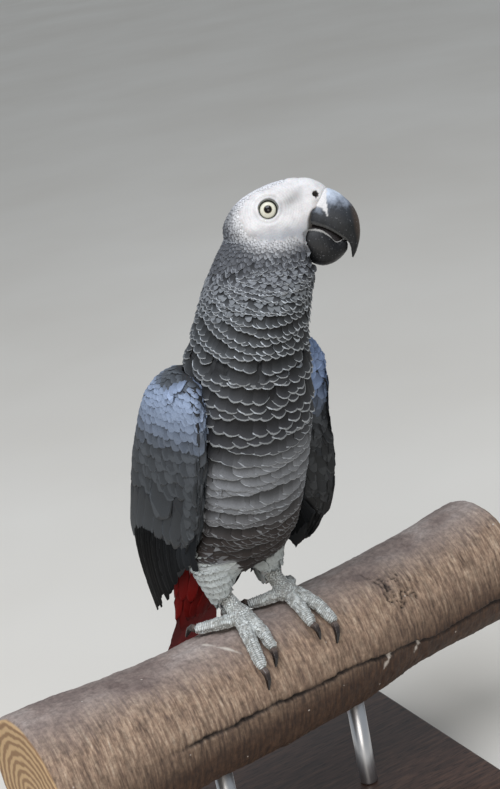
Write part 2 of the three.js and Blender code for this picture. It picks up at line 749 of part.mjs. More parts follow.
// Wings: the coverts in front and above, the secondaries behind them, the primaries' tips below
const opposite = ([point, normal]) => [point, normal.clone().negate()];
const wingRoom = [];
for (const [name, wing] of Object.entries(WINGS)) {
  const pieces = [wingShell(wing), flightTips(wing)];
  const whole = joined(pieces);
  const lowerEdge = [inTrunk(0, 16, 58), inTrunk(0, -0.9, 1)];
  const rearEdge = [inTrunk(0, 22, 58), inTrunk(0, -1, 0.42)];
  const primaryEdge = [inTrunk(0, 44, 28 - wing.hang * 0.3), inTrunk(0, -0.35, 1)];
  const covertRoom = beyond(...lowerEdge, -GAP / 2).intersect(beyond(...rearEdge, -GAP / 2));
  const flight = without(whole, covertRoom);
  place(`wing_${name}_coverts`, cut(whole, [lowerEdge, rearEdge]), COLOURS.plumage);
  place(`wing_${name}_secondaries`, cut(flight, [primaryEdge]), COLOURS.flight);
  place(`wing_${name}_primaries`, cut(flight, [opposite(primaryEdge)]), COLOURS.flight);
  wingRoom.push(...pieces.map(clearanceOf));
}

for (const [name, thigh] of Object.entries(thighs)) {
  place(`leg_${name}_thigh`, largest(without(thigh, ...wingRoom)), COLOURS.thigh);
}

// Tail: the rump's coverts close over the roots of its feathers
const rump = rumpShape();
const tail = largest(without(solid(tailFeathers()), clearanceOf(rump), ...wingRoom));
place("tail", tail, COLOURS.tail);

// The flesh is one shape, parted by thin cuts
const flesh = without(
  joined([bodyShape(), headShape(), rump]),
  clearanceOf(upperBill), clearanceOf(lowerBill), clearanceOf(eyes.right), clearanceOf(eyes.left),
  clearanceOf(branch), ...limbCutters, ...wingRoom,
);
const throat = [inHead(0, -6, -20), headWay(0, 0.5, 0.87)];
const cereEdge = [inHead(0, 20.5, 3), headWay(0, 0.95, -0.25)];
const shoulder = [inTrunk(15, -12, 140), inTrunk(0, -0.35, 1)];
const waist = [inTrunk(6, 6, 60), inTrunk(0, 0.1, 1)];
const midline = [inTrunk(8, 4, 100), inTrunk(0, 1, 0.12)];
const vent = [inTrunk(3, 34, 22), inTrunk(0, 1, -0.55)];
place("head", cut(flesh, [throat, opposite(cereEdge)]), COLOURS.face);
place("cere", cut(flesh, [throat, cereEdge]), COLOURS.face);
place("neck", cut(flesh, [opposite(throat), shoulder]), COLOURS.plumage);
place("breast", cut(flesh, [opposite(shoulder), waist, opposite(midline)]), COLOURS.plumage);
place("back", cut(flesh, [opposite(shoulder), waist, midline]), COLOURS.plumage);
place("belly", cut(flesh, [opposite(waist), opposite(vent)]), COLOURS.plumage);
place("rump", cut(flesh, [opposite(waist), vent]), COLOURS.tail);

const base = new THREE.Mesh(baseShape(), COLOURS.base);
base.name = "stand_base";

const model = new THREE.Group();
model.add(base, bird);

export default model;
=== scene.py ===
# %% [markdown]
# # A grey parrot on a display perch
#
# This lesson dresses a plain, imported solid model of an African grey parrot: the solids give every
# size and place, and the cells below add skin, horn, scales, feathers and bark. Real plumage is a
# shingle roof. Each contour feather grows from the skin, points towards the tail and lies on the next
# one, so the coat is made feather by feather over one continuous skin.

# %% Load the frame
import math
from functools import partial

import bmesh
import bpy
import numpy as np
from mathutils import Matrix, Vector, noise
from mathutils.bvhtree import BVHTree


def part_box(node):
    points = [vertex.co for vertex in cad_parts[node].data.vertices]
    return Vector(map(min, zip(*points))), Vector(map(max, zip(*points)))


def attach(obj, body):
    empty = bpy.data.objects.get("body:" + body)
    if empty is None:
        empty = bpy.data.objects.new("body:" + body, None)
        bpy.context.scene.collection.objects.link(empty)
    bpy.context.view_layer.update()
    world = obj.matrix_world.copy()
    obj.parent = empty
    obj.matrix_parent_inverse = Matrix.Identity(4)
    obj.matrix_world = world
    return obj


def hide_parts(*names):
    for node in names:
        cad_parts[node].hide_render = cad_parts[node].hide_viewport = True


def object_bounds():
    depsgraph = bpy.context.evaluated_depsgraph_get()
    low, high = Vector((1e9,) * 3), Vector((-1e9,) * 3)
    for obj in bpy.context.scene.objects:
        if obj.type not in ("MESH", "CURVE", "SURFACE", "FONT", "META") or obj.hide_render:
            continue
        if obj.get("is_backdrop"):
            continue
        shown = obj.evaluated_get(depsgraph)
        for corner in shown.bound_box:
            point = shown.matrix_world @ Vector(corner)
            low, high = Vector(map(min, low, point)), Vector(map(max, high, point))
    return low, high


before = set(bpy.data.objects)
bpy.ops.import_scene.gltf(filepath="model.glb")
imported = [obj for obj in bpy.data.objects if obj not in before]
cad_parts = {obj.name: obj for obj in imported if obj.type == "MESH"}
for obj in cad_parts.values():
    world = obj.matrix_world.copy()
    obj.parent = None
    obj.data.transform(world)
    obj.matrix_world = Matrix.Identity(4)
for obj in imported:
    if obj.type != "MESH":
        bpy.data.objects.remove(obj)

cad_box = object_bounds()
BODY = "root"
MM = 0.001
chance = np.random.default_rng(42)  # every feather and scale draws from this in turn
vary = chance.uniform
print("nodes:", len(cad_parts), "height mm:", round((cad_box[1].z - cad_box[0].z) / MM, 1))

# %% [markdown]
# ## The frames that the bird is posed in
#
# The solids were posed in three frames, and the coat has to know them too: the trunk faces a little
# to its left, the head looks much further to its left with its right cheek raised, and the branch
# runs nearly from side to side. All lengths below are in millimetres, and become metres only when a
# mesh is made.

# %% Frames
PERCH_TOP = np.array([0.0, -12.0, 147.0])
TRUNK_TURN = math.radians(12)
HEAD_AT = np.array([40.8, -12.4, 205.7]) + PERCH_TOP
HEAD_TURN, HEAD_PITCH, HEAD_ROLL = math.radians(58.6), math.radians(-2.9), math.radians(18.8)
BRANCH_TURN = math.radians(6)
BRANCH_RADIUS, BRANCH_LENGTH, BRANCH_BOW, BRANCH_TAPER = 36.8, 300.0, 2.1, 0.03
BRANCH_AXIS = np.array([0.0, -3.0, -1.5 - BRANCH_RADIUS]) + PERCH_TOP

trunk_turn = np.array(Matrix.Rotation(TRUNK_TURN, 3, "Z"))
head_turn = np.array(Matrix.Rotation(HEAD_TURN, 3, "Z") @ Matrix.Rotation(HEAD_PITCH, 3, "X")
                     @ Matrix.Rotation(HEAD_ROLL, 3, "Y"))
branch_turn = np.array(Matrix.Rotation(BRANCH_TURN, 3, "Z"))


def rows_of(*parts):
    """Numbers or arrays side by side, as rows of points."""
    return np.stack(np.broadcast_arrays(*[np.asarray(p, float) for p in parts]), -1)


def trunk_way(left, back, up):
    return rows_of(left, back, up) @ trunk_turn.T


def in_trunk(left, back, up):
    return trunk_way(left, back, up) + PERCH_TOP


def head_way(left, forward, up):
    return rows_of(left, -np.asarray(forward, float), up) @ head_turn.T


def in_head(left, forward, up):
    return head_way(left, forward, up) + HEAD_AT


def from_head(points):
    """Left, forward and up of points, measured in the head from between the eyes."""
    local = (np.asarray(points) - HEAD_AT) @ head_turn
    return local[..., 0], -local[..., 1], local[..., 2]


def from_trunk(points):
    """Left, back and up of points, measured in the trunk from the top of the branch."""
    local = (np.asarray(points) - PERCH_TOP) @ trunk_turn
    return local[..., 0], local[..., 1], local[..., 2]


def on_branch(along, angle, distance):
    """Round the branch: along its axis, by angle forward from the top, at a distance from it."""
    bow = BRANCH_BOW * (along / 100) ** 2
    local = rows_of(along, -np.sin(angle) * distance, np.cos(angle) * distance + bow)
    return local @ branch_turn.T + BRANCH_AXIS


print("eyes are", round(float(np.linalg.norm(in_head(9, 0, 0) - in_head(-9, 0, 0))), 1), "mm apart")

# %% [markdown]
# ## Camera
#
# The bird is seen from in front of its right shoulder and a little above, with a long lens, as from
# outside an aviary. A long lens keeps its proportions true. The camera is rolled a few degrees, so
# that the branch climbs to the right.

# %% Camera
CAMERA_AZIMUTH, CAMERA_ELEVATION, CAMERA_ROLL = math.radians(-26), math.radians(19), math.radians(11)
CAMERA_AT = np.array([-320.86, -704.28, 526.92])
CAMERA_LENS = 73.0


def shown(name, data):
    """A new object in the scene."""
    made = bpy.data.objects.new(name, data)
    bpy.context.scene.collection.objects.link(made)
    return made


def aim_camera():
    ca, ce = math.cos(CAMERA_AZIMUTH), math.cos(CAMERA_ELEVATION)
    back = Vector((math.sin(CAMERA_AZIMUTH) * ce, -ca * ce, math.sin(CAMERA_ELEVATION)))
    level = Vector((ca, math.sin(CAMERA_AZIMUTH), 0))
    upright = back.cross(level)
    up = math.cos(CAMERA_ROLL) * upright + math.sin(CAMERA_ROLL) * level
    right = -math.sin(CAMERA_ROLL) * upright + math.cos(CAMERA_ROLL) * level
    camera = shown("camera", bpy.data.cameras.new("camera"))
    camera.data.lens = CAMERA_LENS
    turn = Matrix((right, up, back)).transposed().to_4x4()
    camera.matrix_world = Matrix.Translation(Vector(CAMERA_AT) * MM) @ turn
    camera.data.clip_start, camera.data.clip_end = 0.05, 60
    bpy.context.scene.camera = camera


aim_camera()
print("camera is", round(float(np.linalg.norm(CAMERA_AT - HEAD_AT))), "mm from the head")

# %% [markdown]
# ## Small tools
#
# A mesh is made from rows of points and lists of faces. A smooth profile turns a short table into a
# curve, which is how the bill, the wing and the trunk keep only the sizes that matter. Materials are
# built with one helper that adds a node, sets it and links it.

# %% Mesh and material helpers
def ease(value, low, high):
    """0 up to low, 1 from high on, and a smooth step between them."""
    t = np.clip((np.asarray(value, float) - low) / (high - low), 0, 1)
    return t * t * (3 - 2 * t)


def bell(distance, reach):
    """1 at no distance, falling smoothly to 0.37 at the reach."""
    return np.exp(-((np.asarray(distance, float) / reach) ** 2))


def unit(vectors):
    vectors = np.asarray(vectors, float)
    return vectors / np.maximum(np.linalg.norm(vectors, axis=-1, keepdims=True), 1e-9)


def level_with(ways, normals):
    """Ways turned to lie along a surface, from the surface's normals there."""
    return unit(ways - normals * np.sum(ways * normals, -1, keepdims=True))


def travelled(line):
    """How far along a line of places each of them is."""
    return np.concatenate([[0], np.cumsum(np.linalg.norm(np.diff(line, axis=0), axis=1))])


def between(at, places, rows):
    """Rows of values known at places, read off at another place or places."""
    return np.stack([np.interp(at, places, column) for column in np.asarray(rows).T], -1)


def profile(table):
    """A smooth curve through rows of [place, value, value, ...], as a function of place: cubic
    pieces whose slopes agree where they meet."""
    table = np.array(table, float)
    places, values = table[:, 0], table[:, 1:]
    slopes = np.gradient(values, places, axis=0)

    def at(place):
        place = np.clip(np.asarray(place, float), places[0], places[-1])
        k = np.clip(np.searchsorted(places, place, side="right") - 1, 0, len(places) - 2)
        span = (places[k + 1] - places[k])[..., None]
        t = ((place - places[k]) / span[..., 0])[..., None]
        a, b, sa, sb = values[k], values[k + 1], slopes[k] * span, slopes[k + 1] * span
        start = (2 * t**3 - 3 * t**2 + 1) * a + (t**3 - 2 * t**2 + t) * sa
        return start + (3 * t**2 - 2 * t**3) * b + (t**3 - t**2) * sb

    return at


def mesh_of(name, points, faces):
    mesh = bpy.data.meshes.new(name)
    mesh.from_pydata((np.asarray(points) * MM).tolist(), [], [[int(k) for k in face] for face in faces])
    mesh.update()
    mesh.shade_smooth()
    return mesh


def piece(name, mesh, material, replaces=()):
    """An object of the bird or its stand: it rides the one body and takes the material it is given."""
    made = shown(name, mesh)
    if material:
        mesh.materials.clear()
        mesh.materials.append(material)
    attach(made, BODY)
    if replaces:
        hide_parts(*replaces)
    print(name, len(mesh.polygons), "faces")
    return made


def turns(count):
    """Angles evenly spaced round a circle."""
    return np.linspace(0, 2 * math.pi, count, endpoint=False)


def tube_mesh(name, rings):
    """A closed tube through rings of points, with a point closing each end, faces outwards."""
    rings = np.asarray(rings, float)
    count, sides = rings.shape[:2]
    points = np.concatenate([rings.reshape(-1, 3), rings[0].mean(0)[None], rings[-1].mean(0)[None]])
    around = [(i, (i + 1) % sides) for i in range(sides)]
    end, top = count * sides, (count - 1) * sides
    faces = [(k + i, k + j, k + sides + j, k + sides + i) for k in range(0, top, sides) for i, j in around]
    for i, j in around:
        faces += [(j, i, end), (top + i, top + j, end + 1)]
    return face_out(mesh_of(name, points, faces))


def face_out(mesh, smooth=True):
    """Turns faces outward; smooth says of all faces, or of each, whether its shading is smooth."""
    work = bmesh.new()
    work.from_mesh(mesh)
    bmesh.ops.recalc_face_normals(work, faces=work.faces)
    work.to_mesh(mesh)
    work.free()
    mesh.polygons.foreach_set("use_smooth", np.full(len(mesh.polygons), smooth))
    return mesh


def values_of(items, field, width=3):
    """One value of each of a mesh's points or marks, as rows."""
    flat = np.zeros(len(items) * width, np.float32)
    items.foreach_get(field, flat)
    return flat.reshape(-1, width).astype(float)


def points_of(mesh):
    return values_of(mesh.vertices, "co") / MM


def normals_of(mesh):
    return values_of(mesh.vertices, "normal")


def place_points(mesh, points):
    mesh.vertices.foreach_set("co", (np.asarray(points) * MM).astype(np.float32).ravel())
    mesh.update()


def mark(mesh, **marks):
    """Gives each point of a mesh named values, vectors (rows of 3) or colours (rows of 4)."""
    kinds = {1: ("FLOAT", "value"), 3: ("FLOAT_VECTOR", "vector"), 4: ("FLOAT_COLOR", "color")}
    for name, values in marks.items():
        kind, field = kinds[np.size(values) // len(mesh.vertices)]
        made = mesh.attributes.new(name, kind, "POINT")
        made.data.foreach_set(field, np.ascontiguousarray(values, np.float32).ravel())


def corner_map(mesh, name, places):
    """A UV map from one place for each point."""
    corner = np.zeros(len(mesh.loops), np.int32)
    mesh.loops.foreach_get("vertex_index", corner)
    mesh.uv_layers.new(name=name).uv.foreach_set("vector", places[corner].astype(np.float32).ravel())


def linear(colour):
    """An sRGB hex colour, such as 0x8899aa, as linear red, green and blue."""
    parts = np.array([(colour >> shift) & 255 for shift in (16, 8, 0)]) / 255
    return np.where(parts <= 0.04045, parts / 12.92, ((parts + 0.055) / 1.055) ** 2.4)


def rgba(colour):
    return (*linear(colour), 1.0)


def add_node(tree, kind, **settings):
    """Adds a node. A key in small letters is one of its properties, with stops for a colour ramp's
    (place, colour) pairs. Other keys are inputs, by name, or by number as i0, i1 and so on. An input
    gets a value, a hex colour, a socket to link from, or a node whose first output is linked."""
    node = tree.nodes.new(kind if "Node" in kind else "ShaderNode" + kind)
    for key, value in settings.items():
        if key == "stops":
            elements = node.color_ramp.elements
            while len(elements) < len(value):
                elements.new(0.5)
            for element, (place, colour) in zip(elements, value):
                element.position = place
                element.color = rgba(colour) if isinstance(colour, int) else (colour, colour, colour, 1)
        elif key.islower() and not key[1:].isdigit():
            setattr(node, key, value)
        else:
            socket = node.inputs[int(key[1:]) if key[1:].isdigit() else key.replace("_", " ")]
            if isinstance(value, bpy.types.Node):
                value = next(output for output in value.outputs if output.enabled)
            if isinstance(value, bpy.types.NodeSocket):
                tree.links.new(value, socket)
            else:
                is_hex = socket.type == "RGBA" and isinstance(value, int)
                socket.default_value = rgba(value) if is_hex else value
    return node


def new_material(name, build, *given):
    """A material. Its build function gets add, a place on the object and what is given. It hands
    back the shader's inputs, with bump for a height, its depth in millimetres and its strength."""
    material = bpy.data.materials.new(name)
    material.use_nodes = True
    tree = material.node_tree
    tree.nodes.clear()
    add = partial(add_node, tree)
    inputs = build(add, add("TexCoord").outputs["Object"], *given)
    if "bump" in inputs:
        height, depth, strength = inputs.pop("bump")
        inputs["Normal"] = add("Bump", Height=height, Distance=depth * MM, Strength=strength)
    add("OutputMaterial", Surface=add("BsdfPrincipled", **inputs))
    return material


def frayed(add, value, noise, width):
    """A value moved up and down by noise over a width, which roughens the border it is used for."""
    low = add("Math", operation="SUBTRACT", i0=value, i1=width / 2)
    return add("Math", operation="MULTIPLY_ADD", i0=noise, i1=width, i2=low)


def per_mm(size):
    """The scale of a texture whose features are size millimetres across, as its space is in metres."""
    return 1 / (size * MM)


BLEND = {"data_type": "RGBA"}
TIMES = BLEND | {"blend_type": "MULTIPLY"}
print("helpers ready")

# %% [markdown]
# ## Stand
#
# A museum stand is a flat block of dark stained beech with eased edges, and two steel rods that carry
# the branch. The block is one rounded outline raised to its height and bevelled, which gives it the
# soft highlight along its edges that a sharp box never has. The rods are turned, with a small bevel
# where they enter the wood.

# %% Stand
BASE_SIZE = (210.0, 160.0, 16.0)
BASE_CORNER, BASE_EDGE = 14.0, 2.0
ROD_RADIUS, ROD_SPACING = 5.0, 90.0


def make_base_wood(add, place):
    """Beech, planed across the length, stained dark brown and oiled: a satin face with fine grain."""
    along = add("Mapping", Vector=place, Scale=(0.12, 1.0, 1.0))
    grain = add("TexNoise", Vector=along, Scale=per_mm(2.2), Detail=5.0, Roughness=0.6)
    pores = add("TexNoise", Vector=along, Scale=per_mm(0.9), Detail=2.0)
    pore_mask = add("ValToRGB", stops=[(0.55, 0.0), (0.68, 1.0)], i0=pores)
    colour = add("ValToRGB", stops=[(0.3, 0x2E2019), (0.55, 0x47332A), (0.75, 0x5B4436)], i0=grain)
    darker = add("Mix", **TIMES, i0=pore_mask, i6=colour, i7=0x8A8078)
    return {"Base_Color": darker, "Roughness": 0.42, "IOR": 1.5, "bump": (grain, 0.12, 0.5)}


def make_rod_steel(add, place):
    """Stainless steel bar, ground along its length: a metal with a soft streaked highlight."""
    around = add("Mapping", Vector=place, Scale=(1.0, 1.0, 0.04))
    streaks = add("TexNoise", Vector=around, Scale=per_mm(0.6), Detail=3.0)
    rough = add("MapRange", Value=streaks, i3=0.24, i4=0.4)
    return {"Base_Color": 0xC9CACC, "Metallic": 1.0, "Roughness": rough, "bump": (streaks, 0.02, 0.5)}


def base_mesh():
    """The block's outline as rings, drawn in where its lower and upper edges are eased."""
    corner_steps, edge_steps = 10, 5
    half_x, half_y = BASE_SIZE[0] / 2, BASE_SIZE[1] / 2
    corner, step = np.divmod(np.arange(4 * (corner_steps + 1)), corner_steps + 1)
    angle = (corner + step / corner_steps) * math.pi / 2
    side_x, side_y = np.array([1, -1, -1, 1])[corner], np.array([1, 1, -1, -1])[corner]
    rings = []
    rolls = np.linspace(0, math.pi / 2, edge_steps)
    eased = [(BASE_EDGE * (1 - math.sin(r)), BASE_EDGE * (1 - math.cos(r))) for r in rolls]
    for inset, z in eased + [(inset, BASE_SIZE[2] - z) for inset, z in eased[::-1]]:
        reach = BASE_CORNER - inset
        x = side_x * (half_x - BASE_CORNER) + np.cos(angle) * reach
        y = side_y * (half_y - BASE_CORNER) + np.sin(angle) * reach
        rings.append(rows_of(x, y, z))
    return tube_mesh("stand_base_wood", rings)


def rod_mesh(name, side):
    reach = side * ROD_SPACING / 2
    x, y = reach, BRANCH_AXIS[1] + reach * math.tan(BRANCH_TURN)
    low, high = BASE_SIZE[2] + 0.35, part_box(name)[1].z / MM + 2
    steps = [(low, ROD_RADIUS - 0.3), (low + 0.3, ROD_RADIUS), (low + 0.8, ROD_RADIUS), (high, ROD_RADIUS)]
    angle = turns(40)
    rings = [rows_of(x + np.cos(angle) * r, y + np.sin(angle) * r, z) for z, r in steps]
    return tube_mesh(name + "_steel", rings)


base_wood = new_material("beech_stained_dark", make_base_wood)
rod_steel = new_material("stainless_steel_ground", make_rod_steel)
piece("stand_base_wood", base_mesh(), base_wood, ["stand_base"])
for rod in ("stand_rod_right", "stand_rod_left"):
    piece(rod + "_steel", rod_mesh(rod, -1 if "right" in rod else 1), rod_steel, [rod])

# %% [markdown]
# ## Branch
#
# The perch is a weathered trunk of a small tree without its bark. Its surface is a height map wrapped
# round a bent cylinder, so every ridge is real shape: slow swells, fine furrows that run round it where
# beaks and claws have worn it, one long drying crack and a healed knot. The height of each point is
# a formula of its place along and round the branch, and the cut ends are closed with growth rings.

# %% Branch
KNOT_ALONG, KNOT_ANGLE, KNOT_REACH = 60.0, math.radians(18), 17.0
BARK_RINGS, BARK_SIDES = 330, 250
# where the drying crack runs: along, degrees forward from the top
CRACK = profile([[-150, 76], [-60, 80], [-30, 81], [0, 85], [30, 87], [41, 91], [65, 97], [88, 106],
                 [110, 104], [150, 107]])
SCAR_ALONG, SCAR_ANGLE = 70.0, math.radians(36)
# pale streaks: from and to, each along and in degrees, then half the width
STREAKS = [(-41, 2, -30, 31, 0.45), (50, 94, 46, 106, 0.9), (72, 101, 69, 110, 0.7)]
CAP_SHARES = [0.1, 0.35, 0.6, 0.82, 0.95]  # rings on the cut ends, as shares of the radius


def wood_radius(along, angle):
    """The smooth form of the branch, as its solid has it."""
    waves = (1.3 * np.sin(along * 0.045 + 0.8) + 0.9 * np.sin(2 * angle + along * 0.02)
             + 0.6 * np.sin(3 * angle - along * 0.05 + 1))
    from_knot = np.hypot(along - KNOT_ALONG, (angle - KNOT_ANGLE) * BRANCH_RADIUS)
    knot = 3.2 * bell(from_knot, KNOT_REACH) - 2.4 * bell(from_knot, KNOT_REACH * 0.4)
    return BRANCH_RADIUS * (1 - BRANCH_TAPER * along / 100) + waves * (1 - bell(along, 45)) + knot


def field(along, angle, size_along, size_round, seed, depth=3):
    """Smooth noise over the unrolled bark, with lumps of the given sizes, from -1 to 1."""
    x, y = np.cos(angle) * BRANCH_RADIUS / size_round, np.sin(angle) * BRANCH_RADIUS / size_round
    flat = zip((along / size_along).ravel(), x.ravel(), y.ravel())
    values = [noise.fractal(Vector((a + seed, b, c)), 0.6, 2.0, depth) for a, b, c in flat]
    return np.array(values).reshape(along.shape)


def bark_relief(along, angle):
    """How far the worn wood stands out from its smooth form, and how much painted shade darkens each
    point in its crack, scar and furrows.
    """
    forward = np.degrees((angle + math.pi) % (2 * math.pi) - math.pi)
    furrows = field(along, angle, 1.9, 9.0, 3.0, 2)
    lumps = field(along, angle, 16.0, 12.0, 9.0, 3)
    flakes = field(along, angle, 5.0, 5.0, 15.0, 2)
    wander = 1.6 * field(along, angle * 0, 5.0, 30.0, 27.0, 2)
    line = CRACK(along)[..., 0] + wander
    open_share = ease(along, -105, -60) * (0.55 + 0.45 * np.sin(along * 0.11) ** 2)
    from_crack = np.abs(forward - line) * math.radians(1) * BRANCH_RADIUS
    crack = open_share * bell(from_crack, 1.1)
    under_crack = ease(forward, line, line + 6) * (1 - ease(forward, line + 30, line + 60)) * open_share
    worn = ease(forward, 12, 40) * (1 - ease(forward, 130, 160))
    relief = lumps * 0.5 + furrows * (0.12 + 0.34 * worn) + flakes * 0.16 - 2.6 * crack - 0.9 * under_crack
    away_along, away_round = along - SCAR_ALONG, (angle - SCAR_ANGLE) * BRANCH_RADIUS
    turn = np.arctan2(away_round, away_along)
    from_scar = np.hypot(away_along, away_round * 1.25) + 7 * flakes + 6 * lumps
    arc = bell(from_scar - 11, 1.0) * ease(np.cos(turn - 2.4), -0.3, 0.3)
    arc = np.maximum(arc, bell(from_scar - 5, 0.9) * ease(np.cos(turn + 0.4), -0.3, 0.3))
    arc = np.maximum(arc, 0.9 * bell(np.sin(1.5 * turn + 5 * lumps + 1), 0.12) * bell(from_scar, 9))
    relief += 1.1 * bell(from_scar, 6) - 1.6 * arc
    # painted shade: the crack, the scar's rings and the worn furrows are darkened in the wood's colour
    cavity = np.clip(crack * 1.4 + arc + np.clip(-furrows, 0, 1) * worn * 0.5, 0, 1)
    return relief, cavity, forward


def pale_streaks(along, forward):
    """Scratches and droppings: how pale each point of the bark is."""
    pale = np.zeros(along.shape)
    for along_a, turn_a, along_b, turn_b, half in STREAKS:
        start = np.array([along_a, math.radians(turn_a) * BRANCH_RADIUS])
        way = np.array([along_b, math.radians(turn_b) * BRANCH_RADIUS]) - start
        place = np.stack([along, np.radians(forward) * BRANCH_RADIUS], -1) - start
        share = np.clip(place @ way / (way @ way), 0, 1)
        off = np.linalg.norm(place - share[..., None] * way, axis=-1) + 0.8 * np.sin(share * 5) ** 2
        pale = np.maximum(pale, 1 - ease(off, half, half + 0.9))
    return pale


def branch_mesh():
    reach = BRANCH_LENGTH / 2
    along, angle = np.meshgrid(np.linspace(-reach, reach, BARK_RINGS), turns(BARK_SIDES), indexing="ij")
    relief, cavity, forward = bark_relief(along, angle)
    from_end = reach - np.abs(along)
    edge = 1.6 * (1 - ease(from_end, 0, 2.5))
    radius = wood_radius(along, angle) - 0.9 + relief - edge
    under_feet = bell(along, 42) * ease(np.cos(angle), 0.2, 0.6)
    radius = np.minimum(radius, wood_radius(along, angle) + 0.4 * (1 - under_feet))
    near, far = ([on_branch(along[k], angle[k], radius[k] * share) for share in CAP_SHARES] for k in (0, -1))
    mesh = tube_mesh("perch_bark", np.concatenate([near, on_branch(along, angle, radius), far[::-1]]))
    marks = {"cavity": cavity, "forward": forward / 180, "pale": pale_streaks(along, forward),
             "end_grain": from_end < 0.4}
    for name, side in marks.items():
        cut = np.full(len(CAP_SHARES) * BARK_SIDES, float(name == "end_grain"))
        mark(mesh, **{name: np.concatenate([cut, side.ravel(), cut, cut[:2]])})
    return mesh


def make_weathered_wood(add, place):
    """Barked hardwood greyed by weather: a violet-grey top and an orange-brown front, with painted shade
    underneath and in the crack, the scar and the furrows.
    The furrows of wear are 1 to 2 mm apart, and droppings have left pale specks a few mm across."""
    cavity, forward, ends, pale = (add("Attribute", attribute_name=name).outputs["Fac"]
                                   for name in ("cavity", "forward", "end_grain", "pale"))
    patches = add("TexNoise", Vector=place, Scale=per_mm(26), Detail=6.0, Roughness=0.62)
    fine = add("TexNoise", Vector=place, Scale=per_mm(2.4), Detail=5.0, Roughness=0.7)
    turned = add("Mapping", Vector=place, Rotation=(0, 0, -BRANCH_TURN), Scale=(1.0, 0.14, 0.14))
    stripes = add("TexNoise", Vector=turned, Scale=per_mm(1.5), Detail=4.0, Roughness=0.65)
    top = add("ValToRGB", stops=[(0.3, 0x655651), (0.5, 0x84766F), (0.72, 0xA0958F)], i0=patches)
    front = add("ValToRGB",
                stops=[(0.28, 0x54433A), (0.46, 0x836C5A), (0.6, 0xA08974), (0.78, 0xBDAC99)], i0=stripes)
    facing = add("ValToRGB", stops=[(0.06, 0.0), (0.26, 1.0)], i0=frayed(add, forward, patches, 0.3))
    sides = add("Mix", **BLEND, i0=facing, i6=top, i7=front)
    speckled = add("Mix", **BLEND, blend_type="OVERLAY", i0=0.75, i6=sides,
                   i7=add("ValToRGB", stops=[(0.25, 0.22), (0.75, 0.8)], i0=fine))
    # painted shade: the branch is darkened towards its underside
    below = add("ValToRGB", stops=[(0.34, 0.0), (0.56, 1.0)],
                i0=add("Math", operation="ABSOLUTE", i0=forward))
    shaded = add("Mix", **TIMES, i0=below, i6=speckled, i7=0x7A6759)
    # painted shade in the crack, the scar and the furrows
    dark = add("Mix", **BLEND, i0=cavity, i6=shaded, i7=0x1E1510)
    drops = add("TexVoronoi", Vector=place, Scale=per_mm(14), Randomness=1.0)
    specks = add("ValToRGB", stops=[(0.025, 1.0), (0.05, 0.0)], i0=drops.outputs["Distance"])
    spots = add("Math", operation="MAXIMUM", i0=specks, i1=pale)
    spotted = add("Mix", **BLEND, i0=spots, i6=dark, i7=0xB9B0A6)
    rings = add("TexWave", wave_type="RINGS", rings_direction="X",
                Vector=add("Mapping", Vector=place, Rotation=(0, 0, -BRANCH_TURN),
                           Location=tuple(-BRANCH_AXIS * MM)),
                Scale=0.32 * per_mm(5), Distortion=3.0, Detail=2.0, Detail_Scale=2.0)
    cut = add("ValToRGB", stops=[(0.2, 0x8F6F4E), (0.8, 0xBF9F76)], i0=rings)
    whole = add("Mix", **BLEND, i0=ends, i6=spotted, i7=cut)
    height = add("Math", operation="ADD", i0=fine, i1=stripes)
    return {"Base_Color": whole, "Roughness": 0.72, "IOR": 1.48, "bump": (height, 0.35, 0.7)}


weathered_wood = new_material("weathered_barked_wood", make_weathered_wood)
piece("perch_bark", branch_mesh(), weathered_wood, ["perch"])

# %% [markdown]
# ## One skin
#
# Under the feathers a bird is one unbroken skin. The flesh came as separate solids parted by thin
# cuts, so copies of them are swollen until they overlap, and a voxel remesh melts them into one
# surface. Smoothing takes out their flat facets. Four shells, for trunk, wings, head and feet, are
# joined in one object, because a bare face needs points closer together than a covered belly does.
# Each is sunk by the depth of its coat, so that the feathers' tips end where the solids do.

# %% Skin shells from the solids
SEAM_SWELL = 0.35
# how far the bare face reaches from the eye: angle up from straight ahead in degrees, millimetres
FACE_REACH = [(-180, 14.6), (-140, 14.6), (-90, 15.6), (-58, 18.0), (-40, 40), (44, 40), (50, 15.6),
              (60, 12.8), (75, 11.2), (90, 10.5), (135, 11.4), (160, 13.2), (180, 14.6)]


def settled(made):
    """The object's mesh with its modifiers applied; the object itself goes."""
    bpy.context.view_layer.update()
    mesh = bpy.data.meshes.new_from_object(made.evaluated_get(bpy.context.evaluated_depsgraph_get()))
    bpy.data.objects.remove(made)
    return mesh


def joined(name, meshes):
    work = bmesh.new()
    for mesh in meshes:
        work.from_mesh(mesh)
    result = bpy.data.meshes.new(name)
    work.to_mesh(result)
    work.free()
    result.shade_smooth()
    return result


def remeshed(nodes, voxel, rounds):
    """Copies of solids, swollen, melted together and smoothed."""
    copies = []
    for node in nodes:
        part = bmesh.new()
        part.from_mesh(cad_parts[node].data)
        bmesh.ops.remove_doubles(part, verts=part.verts, dist=0.02 * MM)
        part.normal_update()
        for v in part.verts:
            v.co += v.normal * SEAM_SWELL * MM
        copy = bpy.data.meshes.new("part")
        part.to_mesh(copy)
        part.free()
        copies.append(copy)
    shell = shown("shell", joined("shell", copies))
    melt = shell.modifiers.new("melt", "REMESH")
    melt.mode = "VOXEL"
    melt.voxel_size = voxel * MM
    soften = shell.modifiers.new("soften", "SMOOTH")
    soften.factor = 0.5
    soften.iterations = rounds
    return settled(shell)


def thinned(mesh, share):
    """The mesh with a share of its faces, for skin that the coat hides."""
    made = shown("thinned", mesh)
    made.modifiers.new("fewer", "DECIMATE").ratio = share
    return settled(made)


